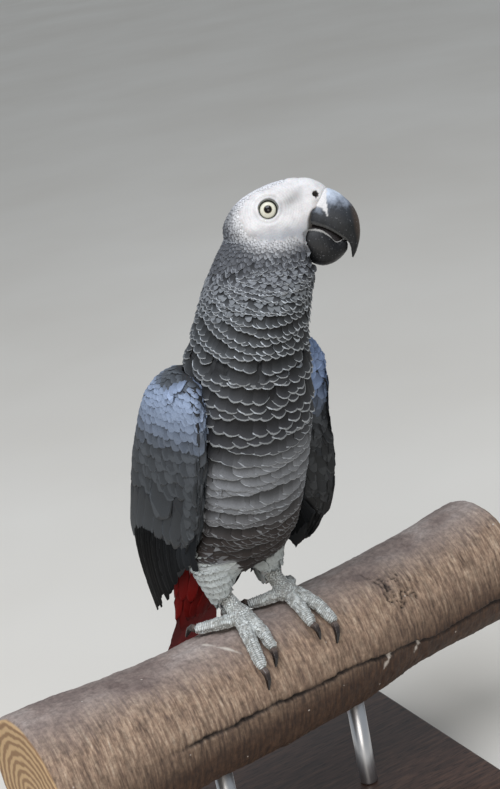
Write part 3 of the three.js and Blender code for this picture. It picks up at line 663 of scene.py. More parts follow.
def carved(mesh, cutters):
    """The mesh with closed cutter meshes taken out of it."""
    body = shown("body", mesh)
    tools = []
    for cutter in cutters:
        tool = shown("tool", cutter)
        cut = body.modifiers.new("cut", "BOOLEAN")
        cut.operation, cut.solver, cut.object = "DIFFERENCE", "EXACT", tool
        tools.append(tool)
    result = settled(body)
    for tool in tools:
        bpy.data.objects.remove(tool)
    return result


def past_face(forward, up):
    """How far a place lies outside the bare face, and its angle about the eye in degrees."""
    turn = np.degrees(np.arctan2(up, forward))
    return np.hypot(forward, up) - np.interp(turn, *zip(*FACE_REACH)), turn


def bare_face(points):
    """1 on the bare white face, falling to 0 where the small feathers begin."""
    _, forward, up = from_head(points)
    past, turn = past_face(forward, up)
    ragged = 0.5 * np.sin(turn * 0.31) + 0.4 * np.sin(turn * 0.83 + 2)
    inside = 1 - ease(past - ragged, -1.2, 1.2)
    ahead = ease(forward, 9.2, 11.5) * ease(up, -14.5, -12.5)
    near = ease(up, -26, -24) * ease(forward, -19, -16)
    return np.maximum(inside, ahead) * near


def coat_depth(points):
    """How deep the skin lies below the outer surface of the plumage."""
    height = np.asarray(points)[..., 2] - PERCH_TOP[2]
    body = 1.0 + 1.1 * ease(210 - height, 0, 70)
    head = 0.55 + 0.45 * ease(-from_head(points)[2], 14, 46)
    in_head_zone = ease(height, 172, 186)
    return (body * (1 - in_head_zone) + head * in_head_zone) * (1 - bare_face(points))


FLESH = ["head", "cere", "neck", "breast", "back", "belly", "rump", "leg_right_thigh", "leg_left_thigh"]
WING_PARTS = [f"wing_{side}_{part}" for side in ("right", "left") for part in ("coverts", "secondaries")]
FEET = [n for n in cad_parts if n.startswith("foot_") and "claw" not in n]
FEET += ["leg_right_shank", "leg_left_shank"]

trunk_shell = remeshed(FLESH[2:], 1.4, 14)
wing_shell = remeshed(WING_PARTS, 1.4, 10)
head_shell = remeshed(FLESH[:3], 0.7, 26)
feet_shell = remeshed(FEET, 0.5, 6)
print("skin points:", [len(m.vertices) for m in (trunk_shell, wing_shell, head_shell, feet_shell)])

# %% [markdown]
# ## Face: lids, nostrils, wrinkles
#
# The head is what a person looks at first. A grey parrot's face is bare, powdery white skin. Round the
# eye it opens in a circle whose rim is a soft bead; below the eye it folds into fine rings; at the
# root of the bill it swells into the cere with two round nostrils. The openings are cut with closed
# tools, which keeps their edges crisp, and the folds are small moves of the skin's own points.

# %% Face
LID_OPENING, LID_BEAD = 4.7, 0.42
EYE_RADIUS, EYE_OUT = 6.2, 9.0
NOSTRIL_AT, NOSTRIL_SIZE = (9.6, 23.3, 2.6), (1.7, 1.35)
SIDES = {"right": -1, "left": 1}


def ball(name, centre, radii, axes, rings=14, sides=24):
    """An ellipsoid about a centre, with its radii along three axes."""
    polar = np.linspace(0, math.pi, rings + 2)[1:-1]
    angle = turns(sides)
    across, along = np.sin(polar)[:, None], np.cos(polar)[:, None]
    local = rows_of(across * np.cos(angle), across * np.sin(angle), along) * radii
    return tube_mesh(name, local @ np.array(axes) + centre)


def eye_rings(side, steps, sides):
    """Rings about the eye's axis, each step a place out along it and a radius."""
    angle = turns(sides)
    return [in_head(side * out, np.cos(angle) * radius, np.sin(angle) * radius) for out, radius in steps]


def eye_cutter(side):
    steps = [(8.0, 4.4), (12.5, 4.62), (14.0, LID_OPENING), (15.5, LID_OPENING + 0.7), (22.0, 7.0)]
    return tube_mesh("eye_cutter", eye_rings(side, steps, 72))


def nostril_cutter(side):
    out, forward, up = NOSTRIL_AT
    axes = [head_way(side, 0.25, 0.2), head_way(0, 1, 0.2), head_way(0, -0.2, 1)]
    return ball("nostril_cutter", in_head(side * out, forward, up), (3.2, *NOSTRIL_SIZE), unit(axes))


# the cere and the wedge of skin beside it, as corners: forward, up
CERE_OUTLINE = [
    (29.6, 9.0), (29.3, 3.6), (28.5, 0.2), (27.9, -4.0), (27.3, -9.4), (26.6, -7.2), (25.7, -5.3),
    (24.3, -3.9), (22.6, -3.3), (20.7, -3.9), (19.2, -5.3), (18.1, -7.2), (17.3, -8.9), (16.6, -11.6),
    (16.0, -13.4), (0.0, -20.0), (0.0, 20.0)]


def within(outline, forward, up):
    """How far inside an outline each place lies, in millimetres; outside is negative."""
    corners = np.array(outline)
    best, inside = 1e9, False
    for (f0, u0), (f1, u1) in zip(corners, np.roll(corners, -1, 0)):
        df, du = f1 - f0, u1 - u0
        run = np.clip(((forward - f0) * df + (up - u0) * du) / (df**2 + du**2), 0, 1)
        best = np.minimum(best, np.hypot(forward - f0 - run * df, up - u0 - run * du))
        crosses = (up < u0) != (up < u1)
        inside = inside ^ (crosses & (forward < f0 + (up - u0) * df / (du + 1e-9)))
    return np.where(inside, best, -best)


def lumps(points, size, rough, depth=2):
    """Smooth noise at points, with lumps of a size in millimetres, from -1 to 1."""
    return np.array([noise.fractal(Vector(p) / size, rough, 2.0, depth) for p in points])


def sculpt_face(mesh):
    """Lid folds, rings of wrinkles, lores and cere, as moves along the skin's normals."""
    points, normals = points_of(mesh), normals_of(mesh)
    left, forward, up = from_head(points)
    face = bare_face(points)
    outward = np.abs(left) > 4
    from_eye = np.hypot(forward, up)
    turn = np.arctan2(up, forward)
    lid = 0.42 * bell(from_eye - 5.5, 0.7) - 0.35 * bell(from_eye - 6.7, 0.8)
    lid = lid + 0.16 * bell(from_eye - 7.7, 0.6)
    below = ease(-np.sin(turn + 0.5), -0.2, 0.6)
    rings = np.sin(from_eye * 2 * math.pi / 1.25 + 1.2 * np.sin(turn * 5) + 0.6 * np.sin(turn * 11))
    wrinkles = 0.1 * rings * ease(from_eye, 6.8, 8.5) * (1 - ease(from_eye, 14, 20)) * (0.35 + below)
    lores = -0.75 * bell(np.hypot((forward - 11.5) / 1.5, up - 1.5 - 0.2 * (forward - 11)), 4.0)
    brow = 0.45 * bell(np.hypot((forward - 1) / 2.2, up - 8), 2.6)
    from_nose = np.hypot(forward - NOSTRIL_AT[1], up - NOSTRIL_AT[2])
    rim = 0.5 * bell(from_nose - 2.3, 1.1)
    cere = 0.35 * ease(forward, 17.5, 20.5) - 0.28 * bell(forward - 18.6 + 0.15 * up, 0.7) * ease(up, -3, 3)
    grain = 0.045 * lumps(points * (face[:, None] > 0.02), 0.9, 0.7)
    crown = -0.2 * ease(up, up.max() - 5, up.max())
    bury = -1.8 * ease(-within(CERE_OUTLINE, forward, up), 0.1, 1.4) * (forward > 14)
    move = face * (outward * (lid + wrinkles + lores + brow + rim) + cere + grain)
    move = move - coat_depth(points) + bury + crown
    place_points(mesh, points + normals * move[:, None])


def lid_bead(side):
    """The bead round the eye: a closed ring with tiny notches."""
    a, t = np.meshgrid(turns(110), turns(10), indexing="ij")
    thick = LID_BEAD * (1 + 0.1 * np.sin(a * 37) + 0.06 * np.sin(a * 13))
    radius = LID_OPENING + 0.1 + thick * np.cos(t)
    out = 13.72 + 0.25 * np.cos(a - 0.6) + thick * 1.15 * np.sin(t)
    points = in_head(side * out, np.cos(a) * radius, np.sin(a) * radius).reshape(-1, 3)
    here = np.arange(a.size).reshape(a.shape)
    after, beside = np.roll(here, -1, 0), np.roll(here, -1, 1)
    faces = np.stack([here, beside, np.roll(after, -1, 1), after], -1).reshape(-1, 4)
    return face_out(mesh_of("lid_bead", points, faces.tolist()))


sculpt_face(head_shell)
openings = [cutter(side) for cutter in (eye_cutter, nostril_cutter) for side in SIDES.values()]
head_shell = carved(head_shell, openings)
print("face points after carving:", len(head_shell.vertices))

# %% [markdown]
# ## Eyes
#
# A parrot's eye has a round black pupil in a pale straw iris with fine rays, darker at its border. The
# ball is turned as rings about its own axis, so the edges of pupil and iris fall on rings and stay
# round. Each point keeps its distance from the axis, and the material paints by that. The distance is
# shifted a little near the rim, where the lid's shade falls on the eye.

# %% Eyes
PUPIL, IRIS = 1.85, 4.0
LID_SHADE = math.radians(55)  # the lid shades the eye's rim in front and above


def eye_mesh(side):
    polar = np.concatenate([np.linspace(0.02, 0.9, 40), np.linspace(0.95, math.pi - 0.05, 18)])
    radius = EYE_RADIUS - 0.02 + 0.35 * bell(polar, 0.42)  # with the cornea's bulge
    across = radius * np.sin(polar)
    mesh = tube_mesh("eye", eye_rings(side, zip(EYE_OUT + radius * np.cos(polar), across), 64))
    shaded = 0.28 * np.outer(ease(across, 2.2, 3.9), np.cos(turns(64) - LID_SHADE))
    reach = np.where(polar < 1.6, across, EYE_RADIUS)[:, None] + shaded
    mark(mesh, from_axis=np.concatenate([reach.ravel(), [0.0, EYE_RADIUS]]))
    return mesh


def make_eye(add, place):
    """A living eye: wet cornea over a straw-coloured iris with rays 0.3 mm apart, and a black pupil."""
    reach = add("Attribute", attribute_name="from_axis").outputs["Fac"]
    share = add("Math", operation="DIVIDE", i0=reach, i1=EYE_RADIUS)
    rays = add("TexNoise", Vector=place, Scale=per_mm(0.5), Detail=3.0, Roughness=0.7)
    edge, rim = PUPIL / EYE_RADIUS, IRIS / EYE_RADIUS
    colour = add("ValToRGB", i0=frayed(add, share, rays, 0.03), stops=[
        (0.0, 0x0A0807), (edge - 0.01, 0x100C0A), (edge + 0.015, 0x857F68), (edge + 0.06, 0xD8D6C4),
        (rim - 0.12, 0xDEDCCB), (rim - 0.03, 0xABAA98), (rim + 0.01, 0x2B2A27), (0.8, 0x171513)])
    tinted = add("Mix", **TIMES, i0=0.35, i6=colour,
                 i7=add("ValToRGB", stops=[(0.35, 0.55), (0.6, 1.0)], i0=rays))
    return {"Base_Color": tinted, "Roughness": 0.06, "IOR": 1.376}


eye_finish = new_material("eye_wet_cornea", make_eye)
for side_name, side in SIDES.items():
    piece(f"eye_{side_name}_ball", eye_mesh(side), eye_finish, [f"eye_{side_name}"])

# %% [markdown]
# ## Bill
#
# The bill is horn over bone. Its upper half is an arc that ends in a hook; the lower half is a deep
# scoop whose chisel edge shuts inside it. Each half is drawn as two lines in the bird's middle plane,
# the outer curve and the cutting edge, with a half width at each step, and a closed surface is lofted
# between them. Fine growth steps run along it, and its edges are worn and flaking.

# %% Bill
BILL_FORWARD, BILL_UP, CULMEN_RADIUS, CULMEN_HOOK = 23.0, -13.0, 18.4, 2.9
UPPER_TABLE = [
    # turn in degrees, edge forward, edge up, half width
    [-56, 34.4, -29.8, 0.75], [-50, 34.5, -28.2, 1.9], [-38, 34.6, -25.8, 3.2], [-22, 34.0, -23.2, 4.5],
    [-8, 32.9, -21.9, 5.6], [8, 30.8, -20.3, 7.0], [24, 27.2, -17.2, 8.2], [40, 23.0, -14.2, 9.0],
    [55, 19.8, -12.7, 9.4], [70, 16.8, -11.0, 9.4], [80, 14.6, -9.2, 8.6]]
LOWER_TABLE = [
    # step, edge forward, edge up, keel forward, keel up, half width
    [0, 14.6, -11.8, 12.4, -22.5, 7.0], [1, 16, -11.8, 13, -24.8, 8.2], [2, 20.4, -12.4, 15, -28.6, 8.6],
    [3, 23.2, -13.7, 19.6, -31, 8.5], [4, 26, -16.8, 24.8, -30.8, 7.8], [5, 28.4, -20.9, 29.4, -28.8, 6.2],
    [6, 31.4, -20.6, 32.6, -26.2, 4.4], [7, 33.3, -21.1, 33.7, -23.6, 3.0]]


def horn_mesh(name, outer, edge, halves, fullness, sides=72):
    """A closed horn between an outer line and an edge line, both (forward, up) in the middle plane.
    Its sides stay wide down to the cutting edges, and the roof between those is hollow."""
    angle = turns(sides)
    share = (1 - np.cos(angle)) / 2
    power = np.where(share < 0.5, fullness, 0.3)
    wide = np.sign(np.sin(angle)) * np.abs(np.sin(angle)) ** power
    share = (share - 0.16 * ease(share, 0.9, 1) * (1 - wide**2) ** 2)[None, :, None]
    middle = outer[:, None, :] * (1 - share) + edge[:, None, :] * share
    out = halves[:, None] * wide
    mesh = tube_mesh(name, in_head(out, *np.moveaxis(middle, -1, 0)))
    flat = np.concatenate([np.broadcast_to(share[..., 0], out.shape).ravel(), [0.5, 0.5]])
    mark(mesh, to_edge=flat)
    return mesh


def mark_bill(mesh, low_reach):
    """Growth steps, pits and the edge of the cere; low_reach is 1 on the upper half, 0 on the lower."""
    points, normals = points_of(mesh), normals_of(mesh)
    left, forward, up = from_head(points)
    torn = 0.35 * np.sin(up * 2.9 + 1.5 * np.sin(forward * 1.7)) + 0.2 * np.sin(up * 7.1 + left)
    skin = ease(within(CERE_OUTLINE, forward, up) + torn * 0.6, -0.35, 0.35) * low_reach
    steps = np.sin(np.hypot(forward - BILL_FORWARD, up - BILL_UP) * 4.4 + left * 0.8)
    turn = np.arctan2(up - BILL_UP, forward - BILL_FORWARD)
    growth = 0.035 * np.sin(turn * 46 + 2 * np.sin(left)) + 0.03 * steps
    pits = lumps(rows_of(left * 0.5, forward * 1.6, up * 1.6), 1, 0.8, 3)
    place_points(mesh, points + normals * ((growth + 0.05 * pits) * (1 - skin) + 0.22 * skin)[:, None])
    # height runs up the bill and is lowered on the lower half, so the horn is painted darker there as shade
    mark(mesh, cere=skin, flaky=np.full(len(points), 1 - 0.85 * low_reach), forward=(forward - 14) / 28,
         height=(up + 32) / 40 - 0.2 * (1 - low_reach))
    return mesh


def upper_bill():
    turn = np.concatenate([np.linspace(-56, 70, 96), [74, 80]])
    rows, angle = profile(UPPER_TABLE)(turn), np.radians(turn)
    hook = np.clip(-turn / 58, 0, 1) ** 2 * CULMEN_HOOK
    start = np.clip((turn - 40) / 30, 0, 1) * 1.2
    radius = CULMEN_RADIUS + hook + start - 2.2 * ease(turn, 69, 80)
    outer = rows_of(BILL_FORWARD + radius * np.cos(angle), BILL_UP + radius * np.sin(angle))
    return mark_bill(horn_mesh("bill_upper_horn", outer, rows[:, :2], rows[:, 2], 0.82), 1.0)


def lower_bill():
    rows = profile(LOWER_TABLE)(np.linspace(0, 7, 72))
    ragged = 0.12 * np.sin(np.linspace(0, 60, 72)) * np.sin(np.linspace(0, 17, 72))
    edge = rows[:, :2] + rows_of(0 * ragged, ragged)
    return mark_bill(horn_mesh("bill_lower_horn", rows[:, 2:4], edge, rows[:, 4], 0.8), 0.0)


TONGUE_TABLE = [
    # step, top forward, top up, underside forward, underside up, half width
    [0, 10, -8.4, 9, -22, 5.0], [1, 16, -8.6, 15, -24, 6.6], [2, 20, -9.6, 20, -25, 6.8],
    [3, 23.5, -10.8, 24, -25.5, 6.4], [4, 27.4, -13.6, 27.5, -25.5, 5.4],
    [5, 30.2, -17.0, 30, -25, 4.0], [6, 32.0, -20.6, 31.4, -24.2, 2.2]]


def tongue_mesh():
    """A thick dark tongue that fills the mouth between the two halves of the bill."""
    rows = profile(TONGUE_TABLE)(np.linspace(0, 6, 40))
    angle = turns(28)
    share = ((1 - np.cos(angle)) / 2)[None, :, None]
    middle = rows[:, None, 0:2] * (1 - share) + rows[:, None, 2:4] * share
    out = rows[:, 4:5] * np.sign(np.sin(angle)) * np.abs(np.sin(angle)) ** 0.7
    return tube_mesh("tongue", in_head(out, *np.moveaxis(middle, -1, 0)))


def make_tongue(add, place):
    """Tongue: moist black-grey flesh, finely papillate, papillae drawn at 0.5 mm."""
    dots = add("TexNoise", Vector=place, Scale=per_mm(0.5), Detail=2.0)
    colour = add("ValToRGB", stops=[(0.35, 0x0E0C0C), (0.7, 0x2A2424)], i0=dots)
    return {"Base_Color": colour, "Roughness": 0.55, "IOR": 1.4, "bump": (dots, 0.1, 0.5)}


def make_bill_horn(add, place):
    """Keratin: charcoal, paler and blue-grey towards the top, partly a bloom of feather powder and partly
    a painted reflection of the sky, darker low down and on the lower half as painted shade, browner at
    the worn hook, with pale flakes along the cutting edges and hairline scratches about 0.3 mm wide."""
    cere, height, ahead, to_edge, flaky = (add("Attribute", attribute_name=name).outputs["Fac"]
                                           for name in ("cere", "height", "forward", "to_edge", "flaky"))
    cloud = add("TexNoise", Vector=place, Scale=per_mm(5), Detail=4.0, Roughness=0.6)
    fine = add("TexNoise", Vector=place, Scale=per_mm(0.7), Detail=3.0, Roughness=0.7)
    # dark low down as painted shade, pale blue-grey on top as powder bloom and a painted sky reflection
    horn = add("ValToRGB", i0=frayed(add, height, cloud, 0.34), stops=[
        (0.1, 0x0F1012), (0.42, 0x1A1C1E), (0.62, 0x2F3237), (0.74, 0x828A97), (0.88, 0xC4CEDC)])
    tip = add("ValToRGB", stops=[(0.86, 0.0), (0.97, 1.0)], i0=ahead)
    browned = add("Mix", **BLEND, i0=tip, i6=horn, i7=0x4A3D33)
    near_edge = add("ValToRGB", stops=[(0.86, 0.0), (0.9, 1.0), (0.955, 1.0), (0.975, 0.1)],
                    i0=frayed(add, to_edge, fine, 0.08))
    flakes = add("Math", operation="MULTIPLY", i0=near_edge, i1=flaky)
    flaked = add("Mix", **BLEND, i0=flakes, i6=browned, i7=0x9A9894)
    scratch_space = add("Mapping", Vector=place, Rotation=(0.3, 0.9, 0.4), Scale=(1.0, 0.12, 1.0))
    scratch = add("TexNoise", Vector=scratch_space, Scale=per_mm(0.9), Detail=2.0)
    lines = add("ValToRGB", stops=[(0.66, 0.0), (0.74, 0.55)], i0=scratch)
    worn = add("Mix", **BLEND, i0=lines, i6=flaked, i7=0x77797C)
    skin = add("ValToRGB", stops=[(0.35, 0xC6C5C6), (0.65, 0xDCDAD9)], i0=fine)
    whole = add("Mix", **BLEND, i0=cere, i6=worn, i7=skin)
    rough = add("MapRange", Value=cere, i3=0.46, i4=0.8)
    return {"Base_Color": whole, "Roughness": rough, "IOR": 1.54, "Specular_IOR_Level": 0.27,
            "bump": (fine, 0.06, 0.5)}


bill_horn = new_material("bill_keratin", make_bill_horn)
piece("bill_upper_horn", upper_bill(), bill_horn, ["bill_upper"])
piece("bill_lower_horn", lower_bill(), bill_horn, ["bill_lower"])
piece("mouth_tongue", tongue_mesh(), new_material("tongue_flesh", make_tongue))

# %% [markdown]
# ## Markings
#
# Skin and coat carry the same markings, so one function gives the colour at any place on the bird:
# white face, lilac-grey crown and nape, ash-grey neck, slate breast, paler flanks, a pale rump, a red
# tail and its coverts, and silvery legs. Feathers ask it at their roots, and the skin at its points.

# %% Markings
CROWN, NAPE, NECK = 0xCDCED8, 0x505257, 0x474A4D
BREAST, MID_BREAST, BELLY, VENT = 0x35363A, 0x787A7E, 0x302927, 0x2E2522
MANTLE, RUMP, TAIL_RED, THIGH = 0x7D838C, 0xA5AAB0, 0x8E1815, 0xB7BBBB
FACE_WHITE = 0xDCDAD9
TAIL_SLOPE = math.radians(61)


def blend_colours(first, second, share):
    first = linear(first) if isinstance(first, int) else first
    second = linear(second) if isinstance(second, int) else second
    return first + (second - first) * np.asarray(share)[..., None]


# each thigh, in the trunk: height, then left and back of its middle, and its radius
THIGHS = {
    "right": profile([[5, -17.6, 7.5, 5.2], [12, -18.6, 8, 7], [26, -20.5, 7, 10.5], [42, -21.5, 10, 13.5],
                      [56, -19, 20, 13]]),
    "left": profile([[4.5, 14.8, 7.5, 5.2], [9, 15.2, 8, 6.6], [20, 15.5, 7, 9.6], [34, 16, 9, 13],
                     [48, 18, 18, 13.5]])}
THIGH_TOP = 36.0


def thigh_at(side_name, height):
    """The middle (left, back) and the radius of a thigh at a height."""
    return THIGHS[side_name](np.clip(height, 4.5, 55))


def marking(points):
    """The plumage's colour at points, as linear rows."""
    points = np.asarray(points, float)
    left, back, up = from_trunk(points)
    _, forward, head_up = from_head(points)
    behind = ease(back, 18, 34) * (1 - ease(up, 150, 172))
    in_head_zone = ease(up, 172, 184)
    powder = np.clip(1 - past_face(forward, head_up)[0] / 9, 0, 1) * in_head_zone
    along_tail = (back - 47) * math.cos(TAIL_SLOPE) - (up - 16) * math.sin(TAIL_SLOPE)
    layers = [
        (BELLY, ease(up, 16, 42)), (MID_BREAST, ease(up, 59, 84)), (BREAST, ease(up, 98, 114)),
        (NECK, ease(up, 118, 168)), (MANTLE, 0.6 * behind), (RUMP, behind * (1 - ease(up, 40, 62))),
        (NAPE, in_head_zone), (CROWN, in_head_zone * ease(head_up + 0.25 * forward, 0, 7)),
        (FACE_WHITE, 0.8 * powder**1.8), (TAIL_RED, ease(along_tail, -14, -4) * ease(back, 30, 38))]
    for side_name in SIDES:
        middle_left, middle_back, radius = np.moveaxis(thigh_at(side_name, up), -1, 0)
        on_leg = 1 - ease(np.hypot(left - middle_left, back - middle_back) - radius, 1, 4)
        layers.append((THIGH, on_leg * (1 - ease(up, 40, 44))))
    # painted shade: the face's white greys towards the bottom
    face = blend_colours(FACE_WHITE, 0xA6A8AC, ease(-head_up, 6, 15))
    tone = linear(VENT)
    for colour, share in layers + [(face, bare_face(points))]:
        tone = blend_colours(tone, colour, share)
    return tone


def make_skin(add, place):
    """Bare skin dusted with feather powder: matt white on the face, with pores and folds half a
    millimetre apart; on the feet, granular grey scale; elsewhere it only shows between feathers."""
    marks = add("Attribute", attribute_name="marking").outputs["Color"]
    shade = add("Attribute", attribute_name="shade").outputs["Fac"]
    pores = add("TexNoise", Vector=place, Scale=per_mm(0.6), Detail=3.0, Roughness=0.65)
    cloud = add("TexNoise", Vector=place, Scale=per_mm(4.5), Detail=3.0)
    mottled = add("Mix", **TIMES, i0=0.5, i6=marks,
                  i7=add("ValToRGB", stops=[(0.3, 0.78), (0.62, 1.0)], i0=pores))
    clouded = add("Mix", **TIMES, i0=0.35, i6=mottled,
                  i7=add("ValToRGB", stops=[(0.35, 0xC9C4C8), (0.6, 0xFFFFFF)], i0=cloud))
    # the shade mark mixes in grey-brown: painted shade on the face, and the dark skin at the gape
    whole = add("Mix", **BLEND, i0=shade, i6=clouded, i7=0x55524F)
    return {"Base_Color": whole, "Roughness": 0.82, "IOR": 1.4, "Subsurface_Weight": 0.06,
            "Subsurface_Scale": 0.001, "bump": (pores, 0.08, 0.7)}


# %% Join the skin
# LID_DARK: the lid's grey-green skin, painted darker as the shade where the lid meets the eye
FOOT_SKIN, LID_DARK = 0xA4A6A2, 0x6D6F69
WING_SKIN_DEPTH, WING_DARK = 0.9, 0x2C2E31


def opaque(colours):
    return np.concatenate([colours, np.ones((len(colours), 1))], 1)


def sink(mesh, depth):
    """Moves a mesh's points in along their normals, by one depth or by one for each."""
    depth = np.broadcast_to(depth, len(mesh.vertices))[:, None]
    place_points(mesh, points_of(mesh) - normals_of(mesh) * depth)


def colour_skin(mesh, colour, shade):
    """Marks a mesh with a colour, or one for each point, and how much grey-brown its shade mark mixes
    in: on the face, painted shade in folds and hollows.
    """
    count = len(mesh.vertices)
    colours = np.broadcast_to(colour, (count, 3))
    mark(mesh, marking=opaque(colours), shade=np.broadcast_to(shade, count))


def face_shade(points):
    """Grey painted shade in the lores, inside the nostrils, under the lid's bead and in the rings of
    wrinkles, and dark skin at the gape behind the bill.
    """
    left, forward, up = from_head(points)
    lores = 0.5 * bell(np.hypot((forward - 11.5) / 2.1, up - 2.2 - 0.4 * (forward - 11)), 3.4)
    from_nose = np.hypot(forward - NOSTRIL_AT[1], up - NOSTRIL_AT[2])
    nostril = (from_nose < 1.9) * (np.abs(left) < 10.6)
    gape = -within(CERE_OUTLINE, forward, up) * (forward > 14) * (up > -13)
    from_eye = np.hypot(forward, up)
    folds = 0.16 * bell(from_eye - 6.6, 0.7) * (np.abs(left) > 5)
    rings = 0.06 * (1 + np.sin(from_eye * 2 * math.pi / 1.25 + 1.9))
    rings = rings * ease(from_eye, 7, 9) * (1 - ease(from_eye, 14, 19))
    return np.clip(lores + nostril + ease(gape, 0, 0.6) + folds + rings, 0, 1)


sink(trunk_shell, coat_depth(points_of(trunk_shell)))
sink(wing_shell, WING_SKIN_DEPTH)
sink(feet_shell, 0.35 - 0.35 * lumps(points_of(feet_shell), 2.4, 0.8))
for shell in (trunk_shell, wing_shell, head_shell):
    spots = points_of(shell)
    colour = linear(WING_DARK) if shell == wing_shell else marking(spots)
    colour_skin(shell, colour, face_shade(spots) * ease(bare_face(spots), 0.2, 0.9))
colour_skin(feet_shell, linear(FOOT_SKIN), 0.25)
shells = [head_shell, thinned(trunk_shell, 0.3), thinned(wing_shell, 0.3), thinned(feet_shell, 0.5)]
for side in SIDES.values():
    shells.append(lid_bead(side))
    colour_skin(shells[-1], linear(LID_DARK), 0.0)
powdered_skin = new_material("bird_skin_powdered", make_skin)
piece("skin", joined("skin", shells), powdered_skin, FLESH + WING_PARTS + FEET)

# %% [markdown]
# ## Coat: one small feather, many times
#
# A contour feather is a cambered vane about its shaft, thin at the rim, with the barbs' worn ends
# along its tip. Thousands of them overlap like tiles. So one feather is modelled with a few dozen
# faces, in a few variants, and Geometry Nodes lay it on root points that carry the way it lies, its
# length, width and colour. The result is made plain mesh, because an export drops instances.

# %% The feather template
def vane_faces(index):
    """The upper side's faces between rows and columns of point numbers."""
    corners = [index[:-1, :-1], index[:-1, 1:], index[1:, 1:], index[1:, :-1]]
    return np.stack(corners, -1).reshape(-1, 4).tolist()


def feather_mesh(name, rows, columns, square, ragged, wrap, seed):
    """A closed feather, 1 long along Y and 1 wide: a cambered vane above and a flat underside.
    Its tip is square or round and ragged, and wrap carries the pale rim round onto its sides."""
    chance = np.random.default_rng(seed)
    v, u = np.meshgrid(rows, columns, indexing="ij")
    reach = 1 - (1 - square) * np.abs(u) ** 2.3
    worn = ragged * chance.uniform(-1, 0.3, len(columns))[None, :] * (v >= 0.99)
    width = 0.5 * (0.6 + 0.4 * np.sin(np.clip(v / 0.6, 0, 1) * math.pi / 2))
    x = u * width * (1 - 0.05 * v**4) + 0.02 * chance.uniform(-1, 1) * v
    y = v * reach + worn
    z = (1 - 1.4 * u**2) * (0.25 + 0.75 * ease(v, 0, 0.7)) * (1 - 0.45 * v**3)
    index = np.arange(v.size).reshape(v.shape)
    faces = vane_faces(index)
    top = len(faces)
    faces += np.stack([index[:-2, 0], index[1:-1, 0], index[1:-1, -1], index[:-2, -1]], -1).tolist()
    faces += [[index[-2, 0], *index[-1], index[-2, -1]], index[0, ::-1]]
    mesh = face_out(mesh_of(name, rows_of(x, y, z).reshape(-1, 3) / MM, faces), np.arange(len(faces)) < top)
    rim = np.maximum(v >= 0.99, wrap * (np.abs(u) > 0.99) * ease(v, 0.86, 1.0))
    mark(mesh, rim=rim, out=v, aside=u)
    corner_map(mesh, "vane", rows_of(u / 2 + 0.5, v).reshape(-1, 2))
    return mesh


def variants(name, meshes):
    """Meshes in a collection that the scene doesn't show, for the tree to pick from."""
    group = bpy.data.collections.new(name)
    for k, mesh in enumerate(meshes):
        group.objects.link(bpy.data.objects.new(f"{name}_{k}", mesh))
    return group


def feather_set(name, rows, columns, square, ragged, wrap=1.0):
    """Variants of one feather, half of them with a squarer tip."""
    meshes = [feather_mesh(name, rows, columns, square + 0.04 * (k % 2), ragged, wrap, 11 * k + 5)
              for k in range(VARIANTS)]
    return variants(name, meshes)


VARIANTS = 4
TINY = feather_set("tiny_feather", [0, 0.5, 0.86, 1], [-1, -0.6, 0, 0.6, 1], 0.55, 0.05)
SCALLOP = feather_set("scallop_feather", [0, 0.42, 0.74, 0.9, 1],
                      [-1, -0.8, -0.45, -0.15, 0.15, 0.45, 0.8, 1], 0.74, 0.04)
BROAD = feather_set("broad_feather", [0, 0.4, 0.72, 0.95, 1],
                    [-1, -0.86, -0.55, -0.18, 0.18, 0.55, 0.86, 1], 0.84, 0.03, 0.0)

# %% [markdown]
# ## Coat: the Geometry Nodes tree
#
# Each root point knows its chord (from root to tip), its lean (the way its upper side faces), its
# width and its colour. Axes to Rotation turns a feather onto them, a fixed seed picks a variant and
# twists it a little, and each feather's UV patch is put at its root's place on the unwrapped skin.

# %% The tree
PATCH = 0.003  # how wide a feather's patch on the unwrap is
SEED = 3


